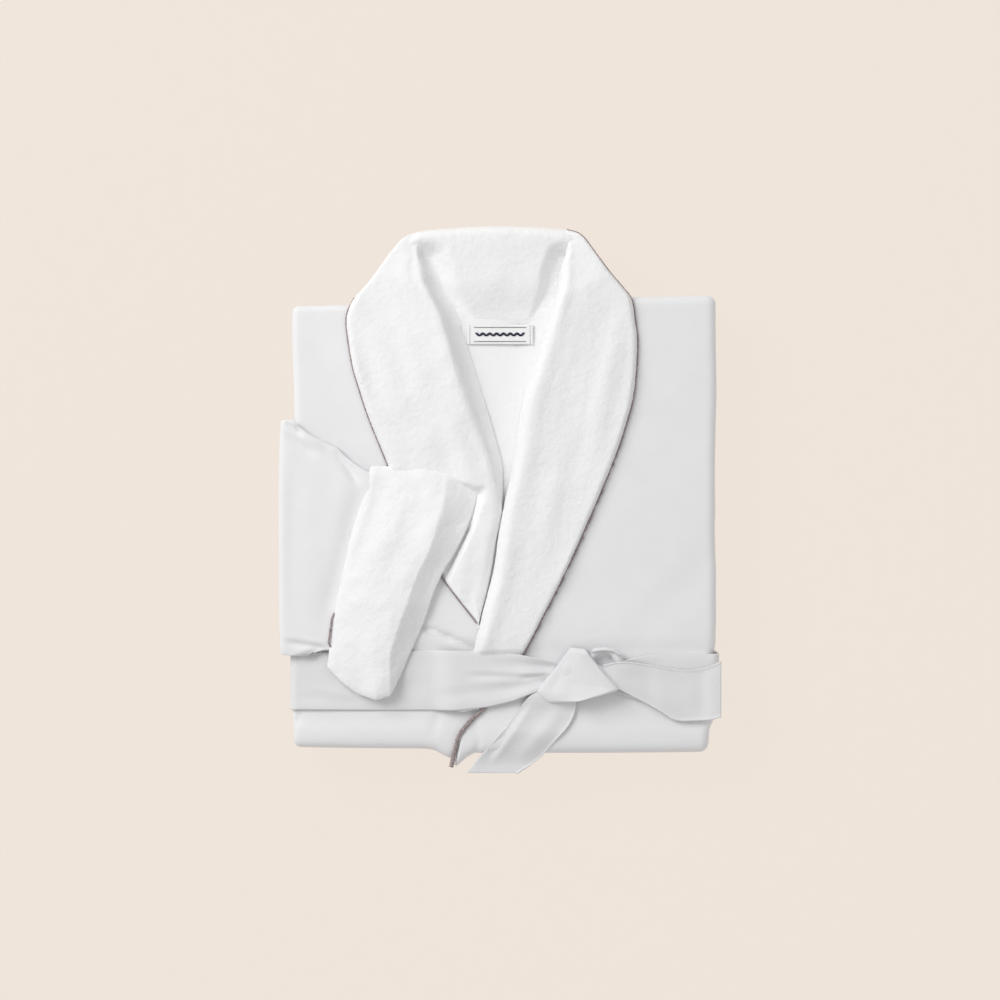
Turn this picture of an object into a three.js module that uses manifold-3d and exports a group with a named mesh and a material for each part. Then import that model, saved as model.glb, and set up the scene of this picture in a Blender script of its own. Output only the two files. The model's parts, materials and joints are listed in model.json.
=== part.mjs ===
// A plush-lined bathrobe, folded into a flat packet with its belt tied round it.
// Millimetres, +Z up, +Y towards the collar. The robe lies face up, so the
// wearer's left is at +X. The origin is the centre of the packet's base.
import * as THREE from 'three';
import { mergeVertices } from 'three/addons/utils/BufferGeometryUtils.js';
import Module from 'manifold-3d';

const wasm = await Module();
wasm.setup();

// ---- driving dimensions ----------------------------------------------------

const packetWidth = 372;        // between the two side folds
const packetLength = 398;       // from the bottom fold to the shoulder line
const packetCentreX = 4;        // the packet is folded a little off the neck's centre
const shoulderY = 176;          // shoulder line
const backFoldInset = 6;        // the hidden top fold lies this far below the shoulders
const hemInset = 32;            // the tucked hem lies this far inside the bottom fold
const sideReturnWidth = 115;    // depth of the panel turned under at each side

const shellThickness = 0.8;     // smooth outer cloth
const pileThickness = 2.1;      // plush lining
const returnThickness = 5.2;    // both cloths of both panels in a turned-under side
const clearance = 0.3;          // between cloths that lie on each other
const foldClearance = 0.4;      // between one run of the folded packet and the next

const beltWidth = 50.8;
const beltThickness = 1.8;
const waistDrop = 334.6;        // shoulder line down to the middle of the belt
const pipingRadius = 1.1;
const lapelRoll = 9.3;          // height of the plush on a rolled lapel
const pressedLapel = 2.3;       // height of the same plush under the belt
const collarRise = 63;          // the collar stands this far above the shoulder line
const standRise = 0.8;          // the plush behind the neck stands this far above the fronts
const neckDrop = 22;            // neck seam below the shoulder line
const labelWidth = 58;
const labelLength = 17.2;
const hangLoopLength = 50;
const hangLoopWidth = 6;

const sleeveWidth = 202.5;      // the sleeve laid flat
const sleeveHollow = 0.4;       // between the two linings of a flat sleeve
const sleeveHiddenRun = 150;    // how far the sleeve runs back under the front
const cuffRise = 19.1;          // height of the turned-back cuff
const pocketWidth = 110;         // patch pockets, folded to the packet's underside
const pocketLength = 165;

// ---- levels of the folded packet -------------------------------------------

const leftSide = packetCentreX - packetWidth / 2;
const rightSide = packetCentreX + packetWidth / 2;
const bottomY = shoulderY - packetLength;
const panelThickness = shellThickness + clearance + pileThickness;
const layerPitch = panelThickness + clearance;
const stripThickness = 3 * layerPitch + returnThickness + clearance;
const sleeveThickness = 2 * panelThickness + sleeveHollow;

const underside = beltThickness + clearance;
const upperFoldRadius = stripThickness + foldClearance / 2;
const innerRunTop = underside + 2 * upperFoldRadius;
const sleeveRunBottom = innerRunTop + foldClearance;
const sleeveRunTop = sleeveRunBottom + sleeveThickness;
const leftFrontTop = sleeveRunTop + foldClearance + stripThickness;
const rightFrontTop = leftFrontTop - layerPitch;
const backTop = rightFrontTop - layerPitch;
const lowerFoldRadius = (leftFrontTop - underside) / 2;

const waistY = shoulderY - waistDrop;
const beltTopY = waistY + beltWidth / 2;
const beltBottomY = waistY - beltWidth / 2;
const openingLength = shoulderY - beltTopY;

// ---- materials -------------------------------------------------------------

function cloth(color, roughness) {
  return new THREE.MeshStandardMaterial({ color, roughness, metalness: 0 });
}

const shellCloth = cloth(0xe2e2e4, 0.62);
const plushCloth = cloth(0xf0f0f2, 0.95);
const beltCloth = cloth(0xdcdcde, 0.55);
const pipingCloth = cloth(0x968787, 0.8);
const labelCloth = cloth(0xf8f8f8, 0.5);

// ---- solids ----------------------------------------------------------------

function toSolid(geometry) {
  const bare = geometry.clone();
  bare.deleteAttribute('normal');
  bare.deleteAttribute('uv');
  const merged = mergeVertices(bare, 1e-4);
  return new wasm.Manifold(new wasm.Mesh({
    numProp: 3,
    vertProperties: new Float32Array(merged.attributes.position.array),
    triVerts: new Uint32Array(merged.index.array),
  }));
}

function toGeometry(solid) {
  const mesh = solid.getMesh();
  const geometry = new THREE.BufferGeometry();
  geometry.setAttribute('position', new THREE.BufferAttribute(mesh.vertProperties, 3));
  geometry.setIndex(new THREE.BufferAttribute(mesh.triVerts, 1));
  geometry.computeVertexNormals();
  return geometry;
}

// An outline in plan, raised from one level to another.
function prism(shape, low, high, curveSegments = 3) {
  const geometry = new THREE.ExtrudeGeometry(shape, {
    depth: high - low, bevelEnabled: false, curveSegments,
  });
  return toSolid(geometry.translate(0, 0, low));
}

function block(x0, x1, y0, y1, z0, z1) {
  const geometry = new THREE.BoxGeometry(x1 - x0, y1 - y0, z1 - z0);
  return toSolid(geometry.translate((x0 + x1) / 2, (y0 + y1) / 2, (z0 + z1) / 2));
}

// A profile drawn in (Y, Z), carried along X.
function alongX(shape, x0, x1) {
  const geometry = new THREE.ExtrudeGeometry(shape, {
    depth: x1 - x0, bevelEnabled: false, curveSegments: 12,
  });
  const axes = new THREE.Matrix4().makeBasis(
    new THREE.Vector3(0, 1, 0), new THREE.Vector3(0, 0, 1), new THREE.Vector3(1, 0, 0));
  return toSolid(geometry.applyMatrix4(axes).translate(x0, 0, 0));
}

// A profile drawn in (X, Z), carried along Y.
function alongY(shape, y0, y1) {
  const geometry = new THREE.ExtrudeGeometry(shape, {
    depth: y1 - y0, bevelEnabled: false, curveSegments: 12,
  });
  return toSolid(geometry.rotateX(Math.PI / 2).translate(0, y1, 0));
}

function cord(points, radius) {
  const path = new THREE.CatmullRomCurve3(points);
  const section = new THREE.Shape();
  section.absarc(0, 0, radius, 0, 2 * Math.PI);
  const geometry = new THREE.ExtrudeGeometry(section, {
    steps: points.length * 4, extrudePath: path, curveSegments: 4,
  });
  return toSolid(geometry);
}

// ---- the folded body panels ------------------------------------------------

// One cloth of the folded strip, seen from the side. It starts at the shoulder
// line, turns under at the bottom fold, runs back up beneath, turns again at the
// hidden top fold and ends at the tucked hem. Depths count inwards from the
// packet's outer surface.
function foldedProfile(outerDepth, innerDepth) {
  const lowerFold = { y: bottomY + lowerFoldRadius, z: underside + lowerFoldRadius };
  const upperFold = { y: shoulderY - backFoldInset - upperFoldRadius, z: underside + upperFoldRadius };
  const hemY = bottomY + hemInset;
  const half = Math.PI / 2;
  const shape = new THREE.Shape();
  shape.moveTo(shoulderY, leftFrontTop - outerDepth);
  shape.lineTo(lowerFold.y, leftFrontTop - outerDepth);
  shape.absarc(lowerFold.y, lowerFold.z, lowerFoldRadius - outerDepth, half, 3 * half, false);
  shape.lineTo(upperFold.y, underside + outerDepth);
  shape.absarc(upperFold.y, upperFold.z, upperFoldRadius - outerDepth, -half, half, false);
  shape.lineTo(hemY, innerRunTop - outerDepth);
  shape.lineTo(hemY, innerRunTop - innerDepth);
  shape.lineTo(upperFold.y, innerRunTop - innerDepth);
  shape.absarc(upperFold.y, upperFold.z, upperFoldRadius - innerDepth, half, -half, true);
  shape.lineTo(lowerFold.y, underside + innerDepth);
  shape.absarc(lowerFold.y, lowerFold.z, lowerFoldRadius - innerDepth, 3 * half, half, true);
  shape.lineTo(shoulderY, leftFrontTop - innerDepth);
  shape.closePath();
  return shape;
}

function panel(layer, x0, x1) {
  const shellDepth = layer * layerPitch;
  const pileDepth = shellDepth + shellThickness + clearance;
  return {
    shell: alongX(foldedProfile(shellDepth, shellDepth + shellThickness), x0, x1),
    lining: alongX(foldedProfile(pileDepth, pileDepth + pileThickness), x0, x1),
  };
}

// A point on the front opening: x from the neck's centre, and how far down the
// opening, from 0 at the shoulder line to 1 at the belt's upper edge.
function opening(x, fall) {
  return new THREE.Vector2(x, shoulderY - fall * openingLength);
}

const leftRollLine = [
  opening(58, -0.149), opening(52, -0.06), opening(46, 0.02), opening(38, 0.14), opening(25, 0.25),
  opening(16, 0.4), opening(2, 0.605), opening(-5, 0.763), opening(-23, 1),
];
const rightRollLine = [
  opening(-73, -0.14), opening(-62, -0.036), opening(-49, 0.042), opening(-29, 0.24),
  opening(-4, 0.48), opening(2, 0.595),
];
const leftFrontEdge = [new THREE.Vector2(-36, beltBottomY - 8), new THREE.Vector2(-42, bottomY)];
const rightFrontUnderlap = 58;

// Everything in plan to the wearer's right of the left front's edge.
function besideLeftFront(shift) {
  const far = leftSide - sleeveWidth;
  const shape = new THREE.Shape();
  shape.moveTo(far, shoulderY + 2 * collarRise);
  shape.lineTo(leftRollLine[0].x - shift, shoulderY + 2 * collarRise);
  for (const point of [...leftRollLine, ...leftFrontEdge]) {
    shape.lineTo(point.x - shift, point.y);
  }
  shape.lineTo(leftFrontEdge[1].x - shift, bottomY - packetLength);
  shape.lineTo(far, bottomY - packetLength);
  shape.closePath();
  return shape;
}

// The neck opening, which the right front leaves clear.
function besideRightFront() {
  const shape = new THREE.Shape();
  const low = rightRollLine[rightRollLine.length - 1];
  shape.moveTo(rightRollLine[0].x, shoulderY + 2 * collarRise);
  for (const point of rightRollLine) {
    shape.lineTo(point.x, point.y);
  }
  shape.lineTo(rightFrontUnderlap, beltTopY);
  shape.lineTo(rightFrontUnderlap, low.y);
  shape.lineTo(rightSide + 1, low.y);
  shape.lineTo(rightSide + 1, shoulderY + 2 * collarRise);
  shape.closePath();
  return shape;
}

const topRunLow = sleeveRunTop;
const aboveAll = leftFrontTop + 4 * cuffRise;
const leftOpeningCut = prism(besideLeftFront(0), topRunLow, aboveAll);
const rightOpeningCut = prism(besideRightFront(), topRunLow, aboveAll);

const leftFront = panel(0, leftFrontEdge[1].x, rightSide);
const rightFront = panel(1, leftSide, rightFrontUnderlap);
const backDepth = 2 * layerPitch;
const backShellDepth = backDepth + pileThickness + clearance;
const back = {
  lining: alongX(foldedProfile(backDepth, backDepth + pileThickness), leftSide, rightSide),
  shell: alongX(foldedProfile(backShellDepth, backShellDepth + shellThickness), leftSide, rightSide),
};
const returnDepth = 3 * layerPitch;
const returnProfile = foldedProfile(returnDepth, returnDepth + returnThickness);

// ---- collar ----------------------------------------------------------------

const leftOuterEdge = [
  opening(21, 1), opening(53, 0.795), opening(79, 0.615), opening(99, 0.46), opening(116, 0.27),
  opening(120, 0.1), opening(115, 0), opening(95, -0.078), opening(72, -0.2),
];
const rightOuterEdge = [
  opening(-18, 0.92), opening(-51, 0.786), opening(-84, 0.6), opening(-99, 0.46), opening(-107, 0.41),
  opening(-123, 0.25), opening(-134, 0.078), opening(-130, 0), opening(-106, -0.087),
  opening(-72, -0.197),
];

function lapelShape(rollLine, outerEdge, foot) {
  const shape = new THREE.Shape();
  const [first, ...roll] = rollLine;
  shape.moveTo(first.x, first.y);
  shape.splineThru(roll);
  shape.lineTo(foot.x, foot.y);
  shape.lineTo(outerEdge[0].x, outerEdge[0].y);
  shape.splineThru(outerEdge.slice(1));
  shape.closePath();
  return shape;
}

const leftLapel = lapelShape(leftRollLine, leftOuterEdge, new THREE.Vector2(-14, waistY));
const rightLapel = lapelShape(rightRollLine, rightOuterEdge, opening(10, 0.8));

function pipingPath(points, frontTop) {
  const level = frontTop + clearance + pipingRadius;
  return points.map((point) => new THREE.Vector3(point.x, point.y, level));
}

const leftPipingPath = pipingPath([
  leftFrontEdge[1], new THREE.Vector2(-34, beltBottomY - 22), new THREE.Vector2(-12, beltBottomY),
  ...leftOuterEdge,
], leftFrontTop);
const rightPipingPath = pipingPath(rightOuterEdge, rightFrontTop);

// The room round a piping, carried on past its two ends.
function grooveFor(points) {
  const last = points.length - 1;
  const start = points[0].clone().sub(points[1]).setLength(1).add(points[0]);
  const end = points[last].clone().sub(points[last - 1]).setLength(1).add(points[last]);
  return cord(points, pipingRadius + clearance)
    .add(cord([start, points[0]], pipingRadius + clearance))
    .add(cord([points[last], end], pipingRadius + clearance));
}

// What is left of a piece once the waste beside a groove or a cut is taken off.
function withoutWaste(solid) {
  const bodies = solid.decompose();
  return bodies.reduce((best, body) => (body.volume() > best.volume() ? body : best));
}

// Facing and under collar of one lapel, laid on the front that carries them.
function lapel(shape, frontTop, piping) {
  const bottom = frontTop + clearance;
  const seam = bottom + shellThickness;
  const groove = grooveFor(piping);
  const top = frontTop + clearance + shellThickness + clearance + lapelRoll;
  return {
    underCollar: withoutWaste(prism(shape, bottom, seam).subtract(groove)),
    facing: withoutWaste(prism(shape, seam + clearance, top).subtract(groove)),
  };
}

const leftCollar = lapel(leftLapel, leftFrontTop, leftPipingPath);
const rightCollar = lapel(rightLapel, rightFrontTop, rightPipingPath);

const pressedTop = leftFrontTop + shellThickness + 2 * clearance + pressedLapel;
const underBelt = block(
  leftSide, rightSide, bottomY, beltTopY + clearance, pressedTop, aboveAll);
leftCollar.facing = withoutWaste(leftCollar.facing.subtract(underBelt));

const besideLeftCollar = prism(besideLeftFront(1), 0, aboveAll);
rightCollar.facing = withoutWaste(rightCollar.facing.intersect(besideLeftCollar));
rightCollar.underCollar = withoutWaste(rightCollar.underCollar.intersect(besideLeftCollar));

const neckSeamY = shoulderY - neckDrop;
const collarTopY = shoulderY + collarRise;

// The collar behind the neck, between the two lapels.
function neckShape(lowY) {
  const shape = new THREE.Shape();
  shape.moveTo(-58, lowY);
  shape.lineTo(49, lowY);
  shape.lineTo(60, shoulderY + 44);
  shape.lineTo(66, collarTopY - 1);
  shape.lineTo(-63, collarTopY);
  shape.lineTo(-74, shoulderY + 42);
  shape.closePath();
  return shape;
}

const standLow = backTop + clearance;
const neckClear = toClearance(prism(leftLapel, 0, aboveAll), prism(rightLapel, 0, aboveAll));
const neckStand = prism(neckShape(neckSeamY), standLow, leftFrontTop + standRise).subtract(neckClear);
const underCollarBack = prism(
  neckShape(shoulderY + clearance), backTop - returnThickness, backTop);

// Grows two lapel solids sideways, so that what is cut by them stays clear.
function toClearance(one, other) {
  let grown = one.add(other);
  for (const [dx, dy] of [[1, 0], [-1, 0], [0, 1], [0, -1]]) {
    const shift = [dx * clearance, dy * clearance, 0];
    grown = grown.add(one.translate(shift)).add(other.translate(shift));
  }
  return grown;
}

// ---- sleeves ---------------------------------------------------------------

const sleeveLowY = beltTopY + foldClearance;
const sleeveHighY = sleeveLowY + sleeveWidth;
const sleeveEase = 2.6;         // the forearm lies this far above the right front
const sleeveBendInner = (rightFrontTop - sleeveRunTop + sleeveEase) / 2;
const sleeveBendDrop = sleeveRunTop + sleeveBendInner - (leftFrontTop - stripThickness + clearance);
const sleeveBendX = leftSide + Math.sqrt((sleeveBendInner - clearance) ** 2 - sleeveBendDrop ** 2);
const forearmBottom = sleeveRunTop + 2 * sleeveBendInner;
const forearmTop = forearmBottom + sleeveThickness;
const hiddenEndX = sleeveBendX + sleeveHiddenRun;

// The sleeve passes under the front and turns round the packet's left side.
// Depths count inwards from the sleeve's outer face.
function sleeveBend(outerDepth, innerDepth, overrun) {
  const centreZ = sleeveRunTop + sleeveBendInner;
  const outer = sleeveBendInner + sleeveThickness - outerDepth;
  const inner = sleeveBendInner + sleeveThickness - innerDepth;
  const half = Math.PI / 2;
  const shape = new THREE.Shape();
  shape.moveTo(sleeveBendX + overrun, centreZ + outer);
  shape.lineTo(sleeveBendX, centreZ + outer);
  shape.absarc(sleeveBendX, centreZ, outer, half, 3 * half, false);
  shape.lineTo(hiddenEndX + overrun, centreZ - outer);
  shape.lineTo(hiddenEndX + overrun, centreZ - inner);
  shape.lineTo(sleeveBendX, centreZ - inner);
  shape.absarc(sleeveBendX, centreZ, inner, 3 * half, half, true);
  shape.lineTo(sleeveBendX + overrun, centreZ + inner);
  shape.closePath();
  return shape;
}

// One cloth of a flattened tube: its wall runs all the way round.
function upperSleeveLayer(depth, wall) {
  const low = sleeveLowY + depth;
  const high = sleeveHighY - depth;
  const outside = alongY(sleeveBend(depth, sleeveThickness - depth, 0), low, high);
  const hollow = alongY(
    sleeveBend(depth + wall, sleeveThickness - depth - wall, 1), low + wall, high - wall);
  return outside.subtract(hollow);
}

// The forearm's two long edges in plan, from the bend to the sleeve's end.
const forearmHighEdge = [
  new THREE.Vector2(sleeveBendX + clearance, sleeveHighY),
  new THREE.Vector2(leftSide + 26, sleeveHighY - 18),
  new THREE.Vector2(leftSide + 66, sleeveHighY - 43),
  new THREE.Vector2(leftSide + 117, sleeveHighY - 56),
];
const forearmLowEdge = [
  new THREE.Vector2(sleeveBendX + clearance, sleeveLowY),
  new THREE.Vector2(leftSide + 30, sleeveLowY),
  new THREE.Vector2(leftSide + 85, sleeveLowY - 22),
];

// A long edge moved in Y, with each end carried on past itself.
function carriedOn(edge, shiftY, overrun) {
  const moved = edge.map((point) => new THREE.Vector2(point.x, point.y + shiftY));
  const last = moved.length - 1;
  const start = moved[0].clone().sub(moved[1]).setLength(overrun).add(moved[0]);
  const end = moved[last].clone().sub(moved[last - 1]).setLength(overrun).add(moved[last]);
  return overrun > 0 ? [start, ...moved, end] : moved;
}

function forearmShape(inset, overrun) {
  const high = carriedOn(forearmHighEdge, -inset, overrun);
  const low = carriedOn(forearmLowEdge, inset, overrun);
  return new THREE.Shape([...high, ...low.reverse()]);
}

function forearmLayer(depth, wall) {
  const outside = prism(forearmShape(depth, 0), forearmBottom + depth, forearmTop - depth);
  const hollow = prism(
    forearmShape(depth + wall, 1), forearmBottom + depth + wall, forearmTop - depth - wall);
  return outside.subtract(hollow);
}

const pileInSleeve = shellThickness + clearance;

// A straight flattened tube with open ends.
function flatTube(x0, x1, depth, wall) {
  const outside = block(x0, x1, sleeveLowY + depth, sleeveHighY - depth,
    sleeveRunBottom + depth, sleeveRunTop - depth);
  const inset = depth + wall;
  const hollow = block(x0 - 1, x1 + 1, sleeveLowY + inset, sleeveHighY - inset,
    sleeveRunBottom + inset, sleeveRunTop - inset);
  return outside.subtract(hollow);
}

// The turned-back cuff in plan. The free edge is on the left, and the end of
// the sleeve, where the cuff turns over, on the right.
const cuffFreeEdge = [
  new THREE.Vector2(leftSide + 70, sleeveHighY - 41), new THREE.Vector2(leftSide + 60, sleeveHighY - 75),
  new THREE.Vector2(leftSide + 49, sleeveHighY - 122), new THREE.Vector2(leftSide + 37, sleeveHighY - 170),
  new THREE.Vector2(leftSide + 30, sleeveHighY - 211),
];
const cuffTurnedEdge = [
  new THREE.Vector2(leftSide + 94, sleeveHighY - 228), new THREE.Vector2(leftSide + 123, sleeveHighY - 155),
  new THREE.Vector2(leftSide + 146, sleeveHighY - 100), new THREE.Vector2(leftSide + 160, sleeveHighY - 62),
];

function cuffShape() {
  const shape = new THREE.Shape();
  shape.moveTo(cuffFreeEdge[0].x, cuffFreeEdge[0].y);
  shape.splineThru(cuffFreeEdge.slice(1));
  shape.lineTo(leftSide + 73, sleeveHighY - 245);
  shape.lineTo(cuffTurnedEdge[0].x, cuffTurnedEdge[0].y);
  shape.splineThru(cuffTurnedEdge.slice(1));
  shape.lineTo(leftSide + 134, sleeveHighY - 53);
  shape.lineTo(leftSide + 108, sleeveHighY - 42);
  shape.closePath();
  return shape;
}

const cuffTop = forearmBottom + cuffRise;
const cuffPipingPath = cuffFreeEdge.map(
  (point) => new THREE.Vector3(point.x, point.y, forearmTop + clearance + pipingRadius));
const forearmRoom = prism(forearmShape(-clearance, 1), 0, forearmTop + clearance);
const cuff = prism(cuffShape(), forearmBottom, cuffTop)
  .subtract(forearmRoom)
  .subtract(grooveFor(cuffPipingPath));

const underSleeveLevel = forearmBottom - clearance;
const underSleeve = toClearance(
  prism(forearmShape(-clearance, 1), underSleeveLevel, aboveAll),
  prism(cuffShape(), underSleeveLevel, aboveAll));
rightCollar.facing = withoutWaste(rightCollar.facing.subtract(underSleeve));
rightCollar.underCollar = withoutWaste(rightCollar.underCollar.subtract(underSleeve));
const rightPiping = withoutWaste(
  cord(rightPipingPath, pipingRadius).intersect(besideLeftCollar).subtract(underSleeve));

// ---- belt ------------------------------------------------------------------

// The height of the belt's underside as it crosses the robe, left to right.
const beltOnRightFront = rightFrontTop + clearance;
const beltOnLeftFront = leftFrontTop + clearance;
const beltOnLapel = pressedTop + clearance;
const beltSideGap = clearance;
const beltCrossing = [
  [leftSide, beltOnRightFront], [-62, beltOnRightFront], [-46, beltOnLapel],
  [30, beltOnLapel], [44, beltOnLeftFront], [rightSide, beltOnLeftFront],
];

// The belt round the packet, seen along Y: outside the packet by its clearance.
function beltOutline(grow) {
  const low = underside - clearance - grow;
  const outer = new THREE.Path();
  outer.moveTo(leftSide - beltSideGap - grow, low);
  outer.lineTo(rightSide + beltSideGap + grow, low);
  for (const [x, z] of [...beltCrossing].reverse()) {
    const side = (x === leftSide ? -1 : 0) + (x === rightSide ? 1 : 0);
    outer.lineTo(x + side * (beltSideGap + grow), z + grow);
  }
  outer.closePath();
  return outer;
}

function beltLoop() {
  const shape = new THREE.Shape(beltOutline(beltThickness).getPoints());
  shape.holes.push(beltOutline(0));
  return alongY(shape, beltBottomY, beltTopY);
}

const knotBottom = beltOnLeftFront + beltThickness + clearance;
const knotHeight = 15;
const knotX = 83;               // middle of the knot
const knotLeft = knotX - 44;
const knotRight = knotX + 23;

function knotSolid() {
  const shape = new THREE.Shape();
  const bevel = 5;
  shape.moveTo(knotLeft + bevel, waistY - 14);
  shape.lineTo(knotX - 17, beltTopY - bevel);
  shape.lineTo(knotX + 6, beltTopY - 4 - bevel);
  shape.lineTo(knotRight - bevel, waistY + 16);
  shape.lineTo(knotRight - bevel, waistY - 3);
  shape.lineTo(knotX - 20, waistY - 13);
  shape.closePath();
  const geometry = new THREE.ExtrudeGeometry(shape, {
    depth: knotHeight - 2 * bevel, bevelSize: bevel, bevelThickness: bevel, bevelSegments: 3,
  });
  return toSolid(geometry.translate(0, 0, knotBottom + bevel));
}

const tailHingeY = beltBottomY - clearance;
const tailTop = beltOnLeftFront + beltThickness;
const tailLength = 56;          // lower tail, from the knot to its cut end
const sideTailTop = knotBottom + beltThickness;
const sideTailLength = 85;

function lowerTailShape() {
  const shape = new THREE.Shape();
  shape.moveTo(knotX - 67, tailHingeY);
  shape.lineTo(knotX - 79, tailHingeY - 15);
  shape.lineTo(knotX - 113, tailHingeY - tailLength + 0.5);
  shape.lineTo(knotX - 67, tailHingeY - tailLength);
  shape.splineThru([
    new THREE.Vector2(knotX - 45, tailHingeY - 40), new THREE.Vector2(knotX - 28, tailHingeY - 20),
    new THREE.Vector2(knotX - 17, tailHingeY),
  ]);
  shape.closePath();
  return shape;
}

function sideTailShape() {
  const shape = new THREE.Shape();
  const x0 = knotRight + clearance;
  shape.moveTo(x0, waistY + 15);
  shape.lineTo(x0 + 45, waistY + 12);
  shape.lineTo(x0 + sideTailLength, waistY + 17);
  shape.lineTo(x0 + sideTailLength, waistY - 29);
  shape.lineTo(x0 + 49, waistY - 34);
  shape.lineTo(x0 + 14, waistY - 13);
  shape.lineTo(x0, waistY - 6);
  shape.closePath();
  return shape;
}

const carrierWidth = 10;        // belt carrier on each side seam, under the turned side
const carrierLength = beltWidth + 3;
const carrierTop = leftFrontTop - returnDepth - returnThickness - clearance;

function beltCarrier(x) {
  return block(x, x + carrierWidth, sleeveLowY - clearance - carrierLength, sleeveLowY - clearance,
    carrierTop - beltThickness, carrierTop);
}

// ---- assembly --------------------------------------------------------------

const group = new THREE.Group();

function add(name, solid, material) {
  const mesh = new THREE.Mesh(toGeometry(solid), material.clone());
  mesh.name = name;
  group.add(mesh);
}

add('left_front_shell', leftFront.shell.subtract(leftOpeningCut), shellCloth);
add('left_front_lining', leftFront.lining.subtract(leftOpeningCut), plushCloth);
add('right_front_shell', rightFront.shell.subtract(rightOpeningCut), shellCloth);
add('right_front_lining', rightFront.lining.subtract(rightOpeningCut), plushCloth);
add('back_lining', back.lining, plushCloth);
add('back_shell', back.shell, shellCloth);
add('left_side_return', alongX(returnProfile, rightSide - sideReturnWidth, rightSide), shellCloth);
add('right_side_return', alongX(returnProfile, leftSide, leftSide + sideReturnWidth), shellCloth);

add('under_collar_left', leftCollar.underCollar, shellCloth);
add('collar_facing_left', leftCollar.facing, plushCloth);
add('under_collar_right', rightCollar.underCollar, shellCloth);
add('collar_facing_right', rightCollar.facing, plushCloth);
add('under_collar_back', underCollarBack, shellCloth);
add('collar_facing_back', neckStand, plushCloth);
add('collar_piping_left', cord(leftPipingPath, pipingRadius), pipingCloth);
add('collar_piping_right', rightPiping, pipingCloth);

// The hanging loop is sewn flat under the label, so its ends don't show.
const loopBottom = backTop + clearance;
const loopTop = loopBottom + shellThickness;
const labelHighY = neckSeamY - clearance;
const labelMidY = labelHighY - labelLength / 2;
add('neck_label', block(-labelWidth / 2, labelWidth / 2, labelHighY - labelLength, labelHighY,
  loopTop + clearance, loopTop + clearance + shellThickness), labelCloth);
add('hang_loop', block(-hangLoopLength / 2, hangLoopLength / 2, labelMidY - hangLoopWidth / 2,
  labelMidY + hangLoopWidth / 2, loopBottom, loopTop), beltCloth);

add('right_sleeve_upper_shell', upperSleeveLayer(0, shellThickness), shellCloth);
add('right_sleeve_upper_lining', upperSleeveLayer(pileInSleeve, pileThickness), plushCloth);
add('right_forearm_shell', forearmLayer(0, shellThickness), shellCloth);
add('right_forearm_lining', forearmLayer(pileInSleeve, pileThickness), plushCloth);
add('right_cuff', cuff, plushCloth);
add('right_cuff_piping', cord(cuffPipingPath, pipingRadius), pipingCloth);

const leftSleeveEnd = rightSide - sleeveHiddenRun + 30;
const leftCuffEnd = leftSleeveEnd - 88;
add('left_sleeve_shell', flatTube(leftSleeveEnd, rightSide, 0, shellThickness), shellCloth);
add('left_sleeve_lining', flatTube(leftSleeveEnd, rightSide, pileInSleeve, pileThickness), plushCloth);
add('left_cuff', flatTube(leftCuffEnd, leftSleeveEnd - clearance, 0, panelThickness), plushCloth);

add('belt_band', beltLoop(), beltCloth);
add('belt_knot', knotSolid(), beltCloth);
add('belt_tail_lower', prism(lowerTailShape(), tailTop - beltThickness, tailTop, 4), beltCloth);
add('belt_tail_side', prism(sideTailShape(), knotBottom, sideTailTop), beltCloth);
add('belt_loop_left', beltCarrier(rightSide - sideReturnWidth + carrierWidth), beltCloth);
add('belt_loop_right', beltCarrier(leftSide + sideReturnWidth - 2 * carrierWidth), beltCloth);

const pocketLowY = beltTopY + 12;
const pocketRight = rightSide - 20;
const pocketLeft = leftSide + 20;
add('left_pocket', block(pocketRight - pocketWidth, pocketRight, pocketLowY,
  pocketLowY + pocketLength, 0, underside - clearance), shellCloth);
add('right_pocket', block(pocketLeft, pocketLeft + pocketWidth, pocketLowY,
  pocketLowY + pocketLength, 0, underside + layerPitch - clearance), shellCloth);

const box = new THREE.Box3().setFromObject(group);
const centre = box.getCenter(new THREE.Vector3());
group.position.set(-centre.x, -centre.y, -box.min.z);
group.updateMatrixWorld(true);

export default group;
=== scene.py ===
import json
import math

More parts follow.
